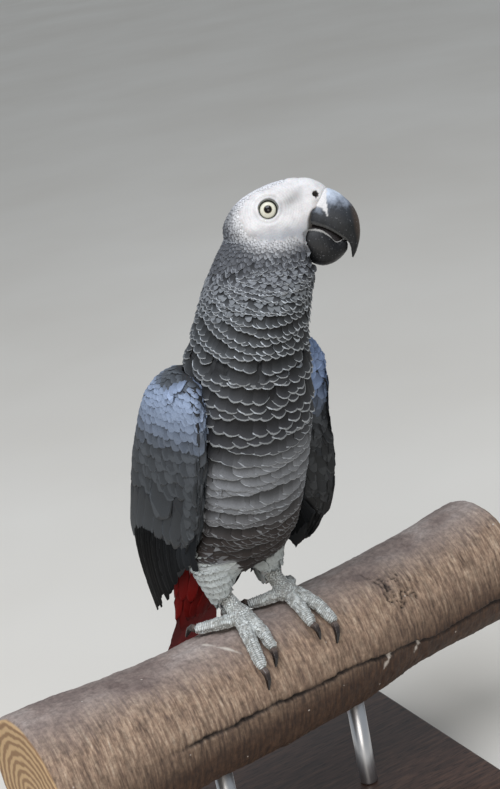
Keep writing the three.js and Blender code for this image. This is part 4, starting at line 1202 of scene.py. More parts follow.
def coat_tree():
    tree = bpy.data.node_groups.new("lay_feathers", "GeometryNodeTree")
    add = partial(add_node, tree)
    for name, kind in {"Geometry": "Geometry", "Feathers": "Collection", "Width": "Float", "Length": "Float",
                       "Camber": "Float", "Twist": "Float", "Seed": "Int", "Material": "Material"}.items():
        tree.interface.new_socket(name, in_out="INPUT", socket_type="NodeSocket" + kind)
    tree.interface.new_socket("Geometry", in_out="OUTPUT", socket_type="NodeSocketGeometry")
    given = add("NodeGroupInput").outputs
    kinds = {"wide": "FLOAT"} | dict.fromkeys(("chord", "lean", "root_uv", "vane"), "FLOAT_VECTOR")
    read = {name: add("GeometryNodeInputNamedAttribute", data_type=kind, Name=name).outputs[0]
            for name, kind in kinds.items()}
    turn = add("FunctionNodeAxesToRotation", primary_axis="Y", secondary_axis="Z",
               i0=read["chord"], i1=read["lean"])
    least = add("Math", operation="MULTIPLY", i0=given["Twist"], i1=-1.0)
    twist = add("FunctionNodeRandomValue", data_type="FLOAT", i2=least, i3=given["Twist"], Seed=given["Seed"])
    small_turn = add("FunctionNodeEulerToRotation", i0=add("CombineXYZ", Z=twist.outputs[1]))
    turned = add("FunctionNodeRotateRotation", rotation_space="LOCAL", i0=turn, i1=small_turn)
    length = add("VectorMath", operation="LENGTH", i0=read["chord"]).outputs["Value"]
    long = add("Math", operation="MULTIPLY", i0=length, i1=given["Length"])
    wide = add("Math", operation="MULTIPLY", i0=read["wide"], i1=given["Width"])
    high = add("Math", operation="MULTIPLY", i0=read["wide"], i1=given["Camber"])
    size = add("CombineXYZ", X=wide, Y=long, Z=high)
    kinds = add("GeometryNodeCollectionInfo", Collection=given["Feathers"], Separate_Children=True,
                Reset_Children=True)
    pick = add("FunctionNodeRandomValue", data_type="INT", i4=0, i5=VARIANTS - 1, Seed=given["Seed"])
    laid = add("GeometryNodeInstanceOnPoints", Points=given["Geometry"], Instance=kinds, Pick_Instance=True,
               Instance_Index=pick.outputs[2], Rotation=turned, Scale=size)
    plain = add("GeometryNodeRealizeInstances", Geometry=laid)
    centred = add("VectorMath", operation="SUBTRACT", i0=read["vane"], i1=(0.5, 0.5, 0.0))
    patch = add("VectorMath", operation="SCALE", i0=centred, Scale=PATCH)
    place = add("VectorMath", operation="ADD", i0=patch, i1=read["root_uv"])
    mapped = add("GeometryNodeStoreNamedAttribute", data_type="FLOAT2", domain="CORNER",
                 Geometry=plain, Name="OFBake", Value=place)
    finished = add("GeometryNodeSetMaterial", Geometry=mapped, Material=given["Material"])
    add("NodeGroupOutput", Geometry=finished)
    return tree


LAY_FEATHERS = coat_tree()
SHINGLE = 0.14  # each feather's one side lies over its neighbour by this, and the other beneath


def bent(mesh, surface, camber):
    """Feathers are laid straight and a body is round, so each point is moved to its own height above
    the skin: the root in it, the tip as high as it was set, and one side over the next feather."""
    points = points_of(mesh)
    out, aside, wide, rise = (values_of(mesh.attributes[name].data, "value", 1)[:, 0]
                              for name in ("out", "aside", "wide", "rise"))
    cambered = camber * wide / MM * (1 - 1.5 * aside**2) * (0.3 + 0.7 * out)
    wanted = rise * out**1.5 + cambered + SHINGLE * aside * out - 0.12
    for k, (point, lean) in enumerate(zip(points, values_of(mesh.attributes["lean"].data, "vector"))):
        near, normal = surface.nearest(point)
        if normal @ lean > 0.6:
            points[k] = point + normal * np.clip(wanted[k] - (point - near) @ normal, -1.5, 1.5)
    place_points(mesh, points)


def coat_piece(name, roots, group, material, camber=0.1, twist=0.09, surface=None):
    """Feathers laid on roots, a dict of arrays, as one plain mesh."""
    mesh = mesh_of(name, roots["at"], [])
    mark(mesh, chord=roots["chord"] * MM, lean=roots["lean"], wide=roots["wide"] * MM, edge=roots["edge"],
         root_uv=rows_of(*roots["uv"].T, 0), tint=opaque(roots["tint"]))
    if surface:
        tips = roots["at"] + roots["chord"]
        near, normal = (np.array(rows) for rows in zip(*[surface.nearest(tip) for tip in tips]))
        mark(mesh, rise=np.clip(((tips - near) * normal).sum(-1), 0.3, coat_depth(tips) + 0.6))
    made = shown(name, mesh)
    lay = made.modifiers.new("lay", "NODES")
    lay.node_group = LAY_FEATHERS
    wanted = {"Feathers": group, "Width": 1.0, "Length": 1.0, "Camber": camber, "Twist": twist, "Seed": SEED,
              "Material": material}
    for socket in LAY_FEATHERS.interface.items_tree:
        if socket.in_out == "INPUT" and socket.name in wanted:
            lay[socket.identifier] = wanted[socket.name]
    coat = settled(made)
    if surface:
        bent(coat, surface, camber)
    for spare in ("chord", "lean", "wide", "root_uv", "out", "aside", "rise"):
        if spare in coat.attributes:
            coat.attributes.remove(coat.attributes[spare])
    print(name, len(roots["at"]), "laid")
    piece(name, coat, material)


# %% [markdown]
# ## Coat: where the feathers grow
#
# Body feathers grow in staggered rows round the bird, two millimetres apart under the chin and six on
# the breast. A row is a ring of rays cast at the sunk skin from outside, at one height of the trunk.
# A feather's root sits on the skin, and its tip lies lower down, lifted to the coat's surface.

# %% Rows on the body
TRUNK_ROWS = profile([
    # height, gap between rows, feather's width, length
    [8, 3.8, 8.0, 13.0], [40, 4.2, 9.5, 14.0], [70, 4.6, 11.5, 15.0], [105, 5.8, 13.5, 16.0],
    [128, 5.2, 11.8, 13.5], [146, 4.0, 8.6, 10.5], [162, 3.3, 6.6, 8.6], [176, 2.7, 5.0, 6.8],
    [190, 2.2, 3.6, 5.2], [220, 2.0, 3.2, 4.6]])
# how far rows climb from front to back: height, climb
SIDE_RISE = profile([[0, 12], [60, 20], [120, 25], [170, 22], [220, 16]])


class Surface:
    """The sunk skin as something to cast rays at and find the nearest place on."""

    def __init__(self, *meshes):
        trees = [self.grown(mesh, []) for mesh in meshes]
        self.trees = [self.grown(mesh, trees[:k] + trees[k + 1:]) for k, mesh in enumerate(meshes)]

    def grown(self, mesh, others):
        """A search tree of a closed mesh, without the faces that lie inside another one."""
        work = bmesh.new()
        work.from_mesh(mesh)
        out = Vector((0.3, 0.2, 0.93))
        met = {face: [other.ray_cast(face.calc_center_median(), out) for other in others]
               for face in work.faces}
        hidden = [face for face, hits in met.items() if any(hit[0] and hit[1].dot(out) > 0 for hit in hits)]
        bmesh.ops.delete(work, geom=hidden, context="FACES")
        tree = BVHTree.FromBMesh(work)
        work.free()
        return tree

    def hit(self, start, way, reach=400.0):
        found = [tree.ray_cast(Vector(start) * MM, Vector(way), reach * MM) for tree in self.trees]
        found = min((f for f in found if f[0]), key=lambda f: f[3], default=None)
        return found and (np.array(found[0]) / MM, np.array(found[1]))

    def nearest(self, point):
        found = min((tree.find_nearest(Vector(point) * MM) for tree in self.trees), key=lambda f: f[3])
        return np.array(found[0]) / MM, np.array(found[1])


body_surface = Surface(trunk_shell, head_shell)
wing_surface = Surface(wing_shell)
trunk_points = rows_of(*from_trunk(points_of(trunk_shell)))
LEVELS = np.arange(0, 200, 6.0)
centres = []
for level in LEVELS:
    near = trunk_points[np.abs(trunk_points[:, 2] - level) < 5]
    low, high = near[:, :2].min(0), near[:, :2].max(0)
    centres.append((level, *((low + high) / 2)))
axis_at = profile(centres)


def place_on(surface, height, angle, start=160.0):
    """Where a ray from outside, level in the trunk's frame, meets a surface; angle 0 is the front."""
    left, back = axis_at(height)
    way = (math.sin(angle), -math.cos(angle), 0.0)
    origin = in_trunk(left + start * way[0], back + start * way[1], height)
    return surface.hit(origin, trunk_way(-way[0], -way[1], 0.0))


def skin_uv(points):
    """The place of points on an unwrap of the bird's own shape: round its axis, and along it."""
    left, back, up = from_trunk(points)
    middle = axis_at(np.clip(up, 0, 190))
    turn = np.arctan2(left - middle[..., 0], -(back - middle[..., 1])) / (2 * math.pi) + 0.5
    return np.clip(np.stack([0.02 + 0.96 * turn, 0.05 + 0.85 * (up + 60) / 320], -1), 0.003, 0.997)


def feather(root, tip, sink, lift, wide):
    """A root sunk in the skin, a tip lifted off it, the way the vane faces, and a width. Root and tip
    come as places on the skin with the skin's normal there."""
    (at, normal), (end, end_normal) = root, tip
    return at - normal * sink, end + end_normal * lift, unit(normal + end_normal), wide


def gather(records, edge):
    """Turns a list of feathers into arrays for a coat. Edge is how pale the rims are at each root."""
    at, tip, lean, wide = (np.array([r[k] for r in records]) for k in range(4))
    tint = marking(at) * vary(0.86, 1.1, (len(at), 1))
    edge = edge(at) if callable(edge) else edge
    return {"at": at, "chord": tip - at, "lean": lean, "wide": wide, "uv": skin_uv(at), "tint": tint,
            "edge": edge * vary(0.75, 1.15, len(at))}


def on_thigh(point):
    left, back, up = from_trunk(point)
    for side_name in SIDES:
        middle_left, middle_back, radius = thigh_at(side_name, up)
        if up < THIGH_TOP and math.hypot(left - middle_left, back - middle_back) < radius + 1.5:
            return True
    return False


def body_rows(low, high, front, behind):
    """Staggered rows from low to high, over angles from the front to behind, on both sides."""
    records = []
    height, odd = high, 0
    while height > low:
        gap, wide, length = TRUNK_ROWS(height)
        gap = gap * vary(0.78, 1.22)
        around = place_on(body_surface, height, 0.0)
        radius = 30.0
        if around:
            radius = np.hypot(*(np.array(from_trunk(around[0])[:2]) - axis_at(height)))
        step = wide * (0.36 + 0.16 * ease(height, 96, 122)) / radius
        wave = vary(0, 2 * math.pi)
        for angle in np.arange(-behind, behind, step):
            turn = angle + step * (0.5 * odd + vary(-0.16, 0.16))
            if abs(turn) < front:
                continue
            rise = SIDE_RISE(height)[0] * (1 - math.cos(turn)) / 2
            level = height + rise + gap * (0.35 * math.sin(2.6 * turn + wave) + vary(-0.07, 0.07))
            if not low <= level <= high or level > 190 - 4 * (1 - math.cos(turn)):
                continue
            here = place_on(body_surface, level, turn)
            fall = length * vary(0.96, 1.04)
            for share in (1.0, 0.75, 0.5):
                low_turn = turn + vary(-0.03, 0.03)
                there = place_on(body_surface, level - fall * 0.96 * share, low_turn)
                if there is None or not on_thigh(there[0]):
                    break
            fall = fall * share
            if here is None or there is None or bare_face(here[0]) > 0.3 or on_thigh(here[0]):
                continue
            lift = coat_depth(there[0]) - 0.15 + vary(-0.1, 0.15)
            root, tip, lean, _ = feather(here, there, 0.1, lift, wide)
            stretch = np.linalg.norm(tip - here[0]) / fall
            if stretch > 1.5 or here[1] @ there[1] < 0.55:
                continue
            tip = here[0] + (tip - here[0]) / max(stretch, 1.0)
            records.append((root, tip, lean, wide * vary(0.92, 1.08)))
        height -= gap
        odd = 1 - odd
    return records


def body_edge(points):
    """How pale the feathers' rims are: bright on neck and breast, faint on the crown and belly."""
    _, back, up = from_trunk(points)
    neck = ease(up, 95, 125) * (1 - 0.35 * ease(up, 180, 200))
    return 0.2 + 0.26 * ease(up, 40, 80) + 0.5 * neck - 0.1 * ease(back, 20, 36)


# painted shade: how dark a feather is painted along its length, darkest at the root that the row above covers
DEEP_ROOT_SHADE, SOFT_ROOT_SHADE = [(0.45, 0.2), (0.68, 0.46), (0.9, 1.0)], [(0.4, 0.6), (0.56, 0.86), (0.7, 1.0)]


def make_feather(add, place, roughness, gloss, root_shades):
    """Feather vanes: matt keratin barbs with a pale worn rim that is partly a painted highlight, and a
    root darkened by painted shade where its neighbours lie over it.
    """
    tint = add("Attribute", attribute_name="tint").outputs["Color"]
    rim, edge = (add("Attribute", attribute_name=name).outputs["Fac"] for name in ("rim", "edge"))
    split = add("SeparateXYZ", Vector=add("UVMap", uv_map="vane"))
    # painted shade towards the root, where the neighbours lie over it
    root_shade = add("ValToRGB", stops=root_shades, i0=split.outputs["Y"])
    fine = add("TexNoise", Vector=place, Scale=per_mm(0.8), Detail=2.0, Roughness=0.6)
    body = add("Mix", **TIMES, i0=1.0, i6=tint, i7=root_shade)
    speckled = add("Mix", **TIMES, i0=0.6, i6=body,
                   i7=add("ValToRGB", stops=[(0.3, 0.72), (0.65, 1.0)], i0=fine))
    rim_line = add("ValToRGB", stops=[(0.15, 0.0), (0.6, 1.0)], i0=frayed(add, rim, fine, 0.3))
    rim_share = add("Math", operation="MULTIPLY", i0=rim_line, i1=edge)
    # the pale rim: partly the feather's own pale edge, partly a painted highlight
    pale = add("Mix", **BLEND, i0=0.62, i6=tint, i7=0xDCE2E8)
    whole = add("Mix", **BLEND, i0=rim_share, i6=speckled, i7=pale)
    return {"Base_Color": whole, "Roughness": roughness, "IOR": 1.54, "Specular_IOR_Level": gloss,
            "bump": (fine, 0.1, 0.6)}


grey_feather = new_material("feather_grey_vane", make_feather, 0.66, 0.3, DEEP_ROOT_SHADE)
pale_feather = new_material("feather_pale_vane", make_feather, 0.7, 0.3, SOFT_ROOT_SHADE)
red_feather = new_material("feather_red_vane", make_feather, 0.75, 0.1, SOFT_ROOT_SHADE)
FLANK = math.radians(100)
for name, rows, group, camber, twist in [
        ("coat_neck", (112, 202, 0.0, math.pi), SCALLOP, 0.1, 0.09),
        ("coat_breast_and_belly", (10, 116, 0.0, FLANK), BROAD, 0.035, 0.04),
        ("coat_back", (30, 116, FLANK, math.pi), BROAD, 0.04, 0.06)]:
    roots = gather(body_rows(*rows), body_edge)
    coat_piece(name, roots, group, grey_feather, camber, twist, body_surface)

# %% [markdown]
# ## Coat: the head
#
# Head feathers are the smallest, under two millimetres beside the bare face. They have no rows there,
# so their roots are picked at random from the skin's own points, none nearer than a set distance to
# another. They lie along circles about the chin: back over the crown, down the nape and the cheeks.

# %% Feathers on the head
CHIN_FORWARD, CHIN_UP = 16.0, -34.0
HEAD_EDGE = 0.25
AROUND = [(a - 1, b - 1, c - 1) for a, b, c in np.ndindex(3, 3, 3)]


def sparse(points, gaps):
    """Indices of points picked at random so that none is nearer to another than its own gap."""
    taken, kept = {}, []
    cells = (points // gaps.max()).astype(int).tolist()
    for index in chance.permutation(len(points)):
        x, y, z = cells[index]
        near = [other for a, b, c in AROUND for other in taken.get((x + a, y + b, z + c), ())]
        if any(np.sum((points[index] - points[other]) ** 2) < gaps[index] ** 2 for other in near):
            continue
        taken.setdefault((x, y, z), []).append(index)
        kept.append(index)
    return np.array(kept)


def head_flow(points, normals):
    """The way feathers lie on the head, merging into straight down the neck."""
    left, forward, up = from_head(points)
    circle = head_way(0 * left, -(up - CHIN_UP), forward - CHIN_FORWARD)
    height = from_trunk(points)[2]
    down = np.broadcast_to(trunk_way(0, 0, -1), points.shape)
    share = ease(height, 176, 200)[:, None]
    return level_with(unit(circle) * share + down * (1 - share), normals)


def head_records():
    points, normals = points_of(head_shell), normals_of(head_shell)
    height = from_trunk(points)[2]
    keep = (bare_face(points) < 0.55) & (height > 168) & (from_head(points)[1] < 22)
    points, normals, height = points[keep], normals[keep], height[keep]
    size = 0.62 + 0.6 * ease(past_face(*from_head(points)[1:])[0], 0, 12) + 0.5 * ease(-height, -200, -182)
    flow = head_flow(points, normals)
    records = []
    for k in sparse(points, 1.25 * size):
        length = 3.2 * size[k] * vary(0.85, 1.15)
        tip = body_surface.nearest(points[k] + flow[k] * length)
        lift = max(0.15, coat_depth(tip[0]) - 0.28) + vary(-0.05, 0.12)
        records.append(feather((points[k], normals[k]), tip, 0.08, lift, 2.1 * size[k]))
    return records


roots = gather(head_records(), HEAD_EDGE)
coat_piece("coat_head", roots, TINY, pale_feather, 0.1, 0.2, body_surface)

# %% [markdown]
# ## Coat: thighs and tail coverts
#
# A parrot's thighs wear short, pale, silvery feathers in rings, like trousers down to the scales. The
# coverts above and below the tail are red as the tail is, and lie along it.

# %% Thighs
def thigh_records(side_name):
    """Rings of feathers down one thigh, their roots and tips found by rays cast at its middle."""
    records = []
    for row, height in enumerate(np.arange(THIGH_TOP + 14, 6.0, -4.2)):
        radius = thigh_at(side_name, height)[2]
        for turn in np.arange(0, 2 * math.pi, 3.6 / radius):
            angle = turn + (0.5 * (row % 2) + vary(-0.12, 0.12)) * 3.6 / radius
            ends = []
            for level in (height + vary(-0.3, 0.3), height - 9.5):
                middle_left, middle_back, reach = thigh_at(side_name, level)
                way = (math.sin(angle), -math.cos(angle), 0)
                for away in (reach + 25, reach + 4):
                    start = in_trunk(middle_left + away * way[0], middle_back + away * way[1], level)
                    found = body_surface.hit(start, trunk_way(-way[0], -way[1], 0), away)
                    if not found or found[1] @ trunk_way(*way) <= 0.2:
                        continue
                    if away - np.linalg.norm(found[0] - start) < reach + 6:
                        ends.append(found)
                        break
            if len(ends) == 2:
                lift = coat_depth(ends[1][0]) - 0.3 + vary(0, 0.08)
                records.append(feather(*ends, 0.1, lift, 7.0))
    return records


for side_name in SIDES:
    roots = gather(thigh_records(side_name), 0.0)
    roots["tint"] = linear(THIGH) * vary(0.9, 1.08, (len(roots["at"]), 1)) * [0.98, 1.0, 0.99]
    coat_piece(f"coat_thigh_{side_name}", roots, SCALLOP, pale_feather, 0.03, 0.03,
               body_surface)

# %% Tail coverts
TAIL_ROOT, TAIL_LENGTH = (3.0, 47.0, 16.0), 101.0
TAIL_WAY = trunk_way(0, math.cos(TAIL_SLOPE), -math.sin(TAIL_SLOPE))
TAIL_FACE = trunk_way(0, math.sin(TAIL_SLOPE), math.cos(TAIL_SLOPE))
TAIL_SIDE = trunk_way(1, 0, 0)


def tail_place(along, side=0, height=0):
    """A place in the tail's own frame: along it from its root, to its left and above its face."""
    return in_trunk(*TAIL_ROOT) + rows_of(along, side, height) @ [TAIL_WAY, TAIL_SIDE, TAIL_FACE]


def covert_records():
    """Rings of feathers round the root of the tail, found by rays cast at its axis."""
    records = []
    for row, along in enumerate(np.arange(38, -22, -19.0)):
        for turn in np.arange(0, 2 * math.pi, 0.36):
            angle = turn + 0.18 * (row % 2) + vary(-0.05, 0.05)
            way = TAIL_SIDE * math.cos(angle) + TAIL_FACE * math.sin(angle)
            ends = [body_surface.hit(tail_place(place) + way * 60, -way) for place in (along, along + 42)]
            if None in ends or math.dist(ends[0][0], ends[1][0]) > 52 or on_thigh(ends[0][0]):
                continue
            records.append(feather(*ends, 0.2, 1.1, 6.5))
    return records


roots = gather(covert_records(), 0.02)
roots["tint"] = linear(TAIL_RED) * vary(0.8, 1.05, (len(roots["at"]), 1))
coat_piece("coat_tail_coverts", roots, SCALLOP, red_feather, 0.05, 0.03, body_surface)

# %% [markdown]
# ## Wings: coverts
#
# A folded wing shows its small coverts near the wrist, then a few rows of larger ones, each hiding
# the roots of the next. Rows are set out on the wing's outer side by height and by distance from its
# leading edge, and they lie down and back.

# %% Rows on the wings
WING_ROWS = profile([
    # height, gap between rows, feather's width, length
    [60, 9.0, 12.5, 24.0], [74, 8.0, 11.5, 22.0], [90, 6.6, 9.5, 17.0], [108, 5.4, 8.0, 13.0],
    [124, 4.0, 6.4, 9.5], [138, 2.6, 4.6, 6.5]])
WING_SLANT = math.radians(17)
WING_LIFT, WING_EDGE = 0.55, 0.045
WING_TOP = 128.0  # higher up, the chart is carried on over the wing's domed top
EDGE_STEPS = 7  # how far a section is carried round the front edge, at 1.3 mm a step


class WingSide:
    """The outer side of one wing, as a chart of height and distance from the leading edge."""

    def __init__(self, side):
        self.side, self.sections = side, {}

    def section(self, height):
        key = round(float(np.clip(height, 14, WING_TOP)) * 2) / 2
        if key not in self.sections:
            runs = [[]]
            for turn in np.radians(np.arange(20, 179, 1.5)):
                found = place_on(wing_surface, key, self.side * turn)
                if not found or runs[-1] and np.linalg.norm(found[0] - runs[-1][-1][0]) > 9:
                    runs.append([])
                if found:
                    runs[-1].append(found)
            hits = max(runs, key=len)
            step = hits[0][0] - hits[1][0]
            for _ in range(EDGE_STEPS):
                around = wing_surface.nearest(hits[0][0] + unit(step) * 1.3 - hits[0][1] * 0.5)
                step = around[0] - hits[0][0]
                hits.insert(0, around)
            points, normals = np.array(hits).swapaxes(0, 1)
            self.sections[key] = travelled(points), points, normals
        return self.sections[key]

    def reach(self, height):
        return self.section(height)[0][-1]

    def place(self, height, share):
        """The point and normal at a height and a share of the way from the front edge to the rear."""
        length, points, normals = self.section(height)
        along = share * length[-1]
        point, normal = between(along, length, points), unit(between(along, length, normals))
        over = height - min(height, WING_TOP)
        if over > 0:
            return wing_surface.nearest(point + trunk_way(0, 0, over * 0.8) - normal * over * 1.5)
        beyond = along - np.clip(along, 0, length[-1])
        if beyond:
            way = unit(points[-1] - points[-3]) if beyond > 0 else unit(points[0] - points[2])
            point = point + way * abs(beyond)
        return point, normal


def wing_tint(points, side):
    """Bluish and pale over the wrist, partly the plumage's tone and partly a painted sky sheen, slate
    lower down, with a light leading edge; the left wing is painted darker below its wrist as shade.
    """
    up = from_trunk(points)[2]
    tone = blend_colours(0x272A2D, 0x33373B, ease(up, 45, 70))
    tone = blend_colours(tone, 0x3C4045, ease(up, 84, 112))
    blue, low, high = (0x8C9BB4, 106, 132) if side < 0 else (0x8398BE, 102, 124)
    tone = blend_colours(tone, blue, ease(up, low, high))
    # painted shade: the left wing is darkened below its wrist
    tone = tone * (1 - 0.74 * (side > 0) * (1 - ease(up, 84, 118)))[..., None]
    return blend_colours(tone, 0x474C52, ease(up, 133, 135.5) * (side < 0))


def wing_feather(chart, level, share, fall, slant, wide, lift, sink=0.3):
    """A feather by its root's place in the chart, how far it falls and how far back it slants."""
    start = chart.place(level, share)
    low = level - fall * math.cos(WING_SLANT)
    end = chart.place(low, min(share + slant * fall / chart.reach(low), 0.98))
    root, tip, lean, _ = feather(start, end, sink, lift, wide)
    stretch = np.linalg.norm(tip - start[0]) / fall
    return root, start[0] + (tip - start[0]) / max(stretch, 1.0), lean, wide, share


def covert_rows(chart, low, high):
    records = []
    height, odd = high, 0
    while height > low:
        gap, wide, length = WING_ROWS(height)
        step = wide * 0.62 / chart.reach(height)
        for share in np.arange(0, 1.0, step):
            start = share + step * (0.5 * odd + vary(-0.2, 0.2))
            level = height + vary(-0.14, 0.14) * gap - 3 * share
            fall = length * vary(0.9, 1.12)
            lift = WING_LIFT + vary(-0.06, 0.06)
            records.append(wing_feather(chart, level, start, fall, 0.12, wide, lift))
        height -= gap
        odd = 1 - odd
    return records


def greater_coverts(chart):
    """Long feathers below the small ones, each with its edge in view, and one broad one ahead of them."""
    records = []
    for share in np.linspace(0.02, 0.92, 12):
        level = 86 - 4 * share + vary(-2, 2)
        fall = 43 + 4 * bell(share - 0.8, 0.3) + vary(-2.5, 2.5)
        records.append(wing_feather(chart, level, share, fall, 0.14, 10.0, 0.85, 0.4))
    records.append(wing_feather(chart, 90, 0.36, 31, 0.05, 19.0, 1.1, 0.3))
    for level in np.arange(108, 26, -6.5):
        for share in np.arange(0, 0.2, 0.04):
            records.append(wing_feather(chart, level + vary(-2, 2), share, 17, 0.01, 5.5, 0.6))
    return records


def wrist_coverts(side):
    """Small feathers over the domed top of the folded wing, set out as the head's are."""
    points, normals = points_of(wing_shell), normals_of(wing_shell)
    left, _, up = from_trunk(points)
    keep = ((left - 8) * side > 2) & (up > 121)
    points, normals = points[keep], normals[keep]
    down = np.broadcast_to(trunk_way(side * 0.9, 0.35, -0.6), points.shape)
    flow = level_with(down, normals)
    records = []
    for k in sparse(points, np.full(len(points), 2.5)):
        tip = wing_surface.nearest(points[k] + flow[k] * 6.0)
        records.append((*feather((points[k], normals[k]), tip, 0.1, WING_LIFT, 5.4), 0.5))
    return records


def mantle_tufts(side):
    """Loose pointed feathers of the mantle that hang over the top of the wing."""
    records = []
    for share in np.linspace(0, 1, 12):
        start = in_trunk(side * (11 + 19 * share) + (side > 0) * 14, 16 * share - 9, 139)
        root = wing_surface.nearest(start)
        way = trunk_way(side * (0.35 + 0.3 * share), -0.3 + 0.5 * vary(-1, 1), -0.8)
        tip = wing_surface.nearest(root[0] + unit(way) * vary(8, 11))
        records.append((*feather(root, tip, 0.0, 1.5, 4.8), 0.5))
    return records


# painted shade at the wing coverts' roots, lighter than on the body
COVERT_ROOT_SHADE = [(0.45, 0.6), (0.7, 0.86), (0.9, 1.0)]
slate_feather = new_material("feather_slate_vane", make_feather, 0.6, 0.35, COVERT_ROOT_SHADE)
for side_name, side in SIDES.items():
    chart = WingSide(side)
    tufts = mantle_tufts(side)
    records = greater_coverts(chart) + covert_rows(chart, 88, 126)
    records += wrist_coverts(side) + tufts
    roots = gather(records, WING_EDGE)
    shares = np.array([record[4] for record in records])
    light_edge = 1 + 0.6 * bell(shares, 0.06) * ease(from_trunk(roots["at"])[2], 40, 90)
    light_edge = light_edge * vary(0.93, 1.06, len(shares))
    roots["tint"] = wing_tint(roots["at"], side) * light_edge[:, None]
    # painted shade: the tufts on the left wing are a darker blue than those on the right
    tuft_blue = linear(0x9DAECB if side < 0 else 0x66748F)
    roots["tint"][-len(tufts):] = tuft_blue * vary(0.5, 1.0, (len(tufts), 1))
    coat_piece(f"coat_wing_{side_name}_coverts", roots, SCALLOP, slate_feather, 0.012, 0.04,
               wing_surface)

# %% [markdown]
# ## Wings and tail: long feathers
#
# Flight and tail feathers are long blades: a stiff shaft, a narrow vane ahead of it and a wide one
# behind, and a worn tip where the barbs have parted into notches. Each is modelled on its own along
# its path, closed, with a raised shaft, because no two show the same edge.

# %% A long feather
BLADE_COLUMNS = np.array([-1, -0.86, -0.55, -0.2, -0.06, 0, 0.06, 0.2, 0.55, 0.86, 1])
BLADE_ROWS = 44


def blade(path, side_ways, face_ways, halves, thick, notches, tip_share):
    """Points, faces and marks of one long feather through a path of places from root to tip. Halves
    are the widths of its two vanes, and tip_share is the share of its length that narrows."""
    count = BLADE_ROWS
    share = np.linspace(0, 1, count)
    known = np.linspace(0, 1, len(path))
    middle, across, face = (between(share, known, rows) for rows in (path, side_ways, face_ways))
    across, face = unit(across), unit(face)
    to_tip = np.clip((1 - share) / tip_share, 0, 1)
    round_tip = np.sqrt(np.clip(1 - (1 - to_tip) ** 2, 0.004, 1))
    root = 0.45 + 0.55 * ease(share, 0, 0.2)
    width = np.outer(halves, round_tip * root)
    for _ in range(notches):
        where = int(vary(0.35, 0.97) * count)
        width[chance.integers(2), where:where + 1 + chance.integers(2)] *= vary(0.5, 0.85)
    width *= 1 + 0.05 * vary(-1, 1, width.shape)
    u = np.broadcast_to(BLADE_COLUMNS, (count, len(BLADE_COLUMNS)))
    out = np.where(u < 0, u * width[0][:, None], u * width[1][:, None])
    swept = -np.abs(out) * 0.35
    ridge = 0.5 * (np.abs(u) < 0.03) + 0.12 * (np.abs(u) < 0.08)
    high = (1 - u**2) * 0.7 + ridge * (1 - 0.7 * share[:, None]) + 0.08 * vary(-1, 1, u.shape)
    forward = unit(np.gradient(middle, axis=0))
    points = middle[:, None] + across[:, None] * out[..., None] + face[:, None] * (thick * high)[..., None]
    points = points + forward[:, None] * (swept * ease(share, 0.6, 1)[:, None])[..., None]
    index = np.arange(u.size).reshape(u.shape)
    faces = vane_faces(index)
    smooth = [True] * len(faces) + [False] * (count + 1)
    faces += np.stack([index[:-1, 0], index[1:, 0], index[1:, -1], index[:-1, -1]], -1).tolist()
    faces += [index[0, ::-1], index[-1]]
    rim = np.maximum(np.abs(u) > 0.99, (share > 0.985)[:, None])
    return {"points": points.reshape(-1, 3), "faces": faces, "rim": rim.ravel(), "root": middle[0],
            "vane": rows_of(u / 2 + 0.5, share[:, None]).reshape(-1, 2), "smooth": smooth}


def blades_mesh(name, blades, tints, edge):
    """Many long feathers as one mesh, with the marks that the feather material reads."""
    size = BLADE_ROWS * len(BLADE_COLUMNS)
    faces = [np.array(face) + k * size for k, made in enumerate(blades) for face in made["faces"]]
    points, rim, vane, smooth = (np.concatenate([made[key] for made in blades])
                                 for key in ("points", "rim", "vane", "smooth"))
    mesh = face_out(mesh_of(name, points, faces), smooth)
    mark(mesh, rim=rim, edge=np.full(len(rim), edge), tint=opaque(np.repeat(tints, size, 0)))
    root_uv = np.repeat([skin_uv(made["root"]) for made in blades], size, 0)
    corner_map(mesh, "OFBake", root_uv + (vane - 0.5) * PATCH)
    corner_map(mesh, "vane", vane)
    return mesh


# %% Flight feathers
FLIGHT_COUNT = 18


class WingTips:
    """A smooth sheet through the lower wing: how far out it lies at any place back and up."""

    def __init__(self, side_name, side, inner=False):
        self.side = -side if inner else side
        nodes = [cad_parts[f"wing_{side_name}_{part}"].data for part in ("secondaries", "primaries")]
        surface = Surface(*nodes)
        found = []
        for back in range(6, 84, 3):
            for up in range(-18, 70, 3):
                hit = surface.hit(in_trunk(8 if inner else side * 120, back, up), trunk_way(-self.side, 0, 0))
                if hit and hit[1] @ trunk_way(self.side, 0, 0) > 0.3:
                    found.append((back, up, from_trunk(hit[0])[0]))
        back, up, left = np.array(found).T
        self.fit = np.linalg.lstsq(self.terms(back, up), left, rcond=None)[0]
        off = float(np.abs(self.terms(back, up) @ self.fit - left).mean())
        print(side_name, "sheet fits within", round(off, 2), "mm")

    def terms(self, back, up):
        back, up = np.asarray(back, float) / 50, np.asarray(up, float) / 50
        return rows_of(1, back, up, back * up, back**2, up**2, back**3, up**3, back**2 * up, back * up**2)

    def place(self, back, up, off=0.0):
        return in_trunk(self.terms(back, up) @ self.fit + self.side * off, back, up)

    def face(self, back, up):
        along_back = self.place(back + 1, up) - self.place(back - 1, up)
        along_up = self.place(back, up + 1) - self.place(back, up - 1)
        return unit(np.cross(along_back, along_up) * self.side)


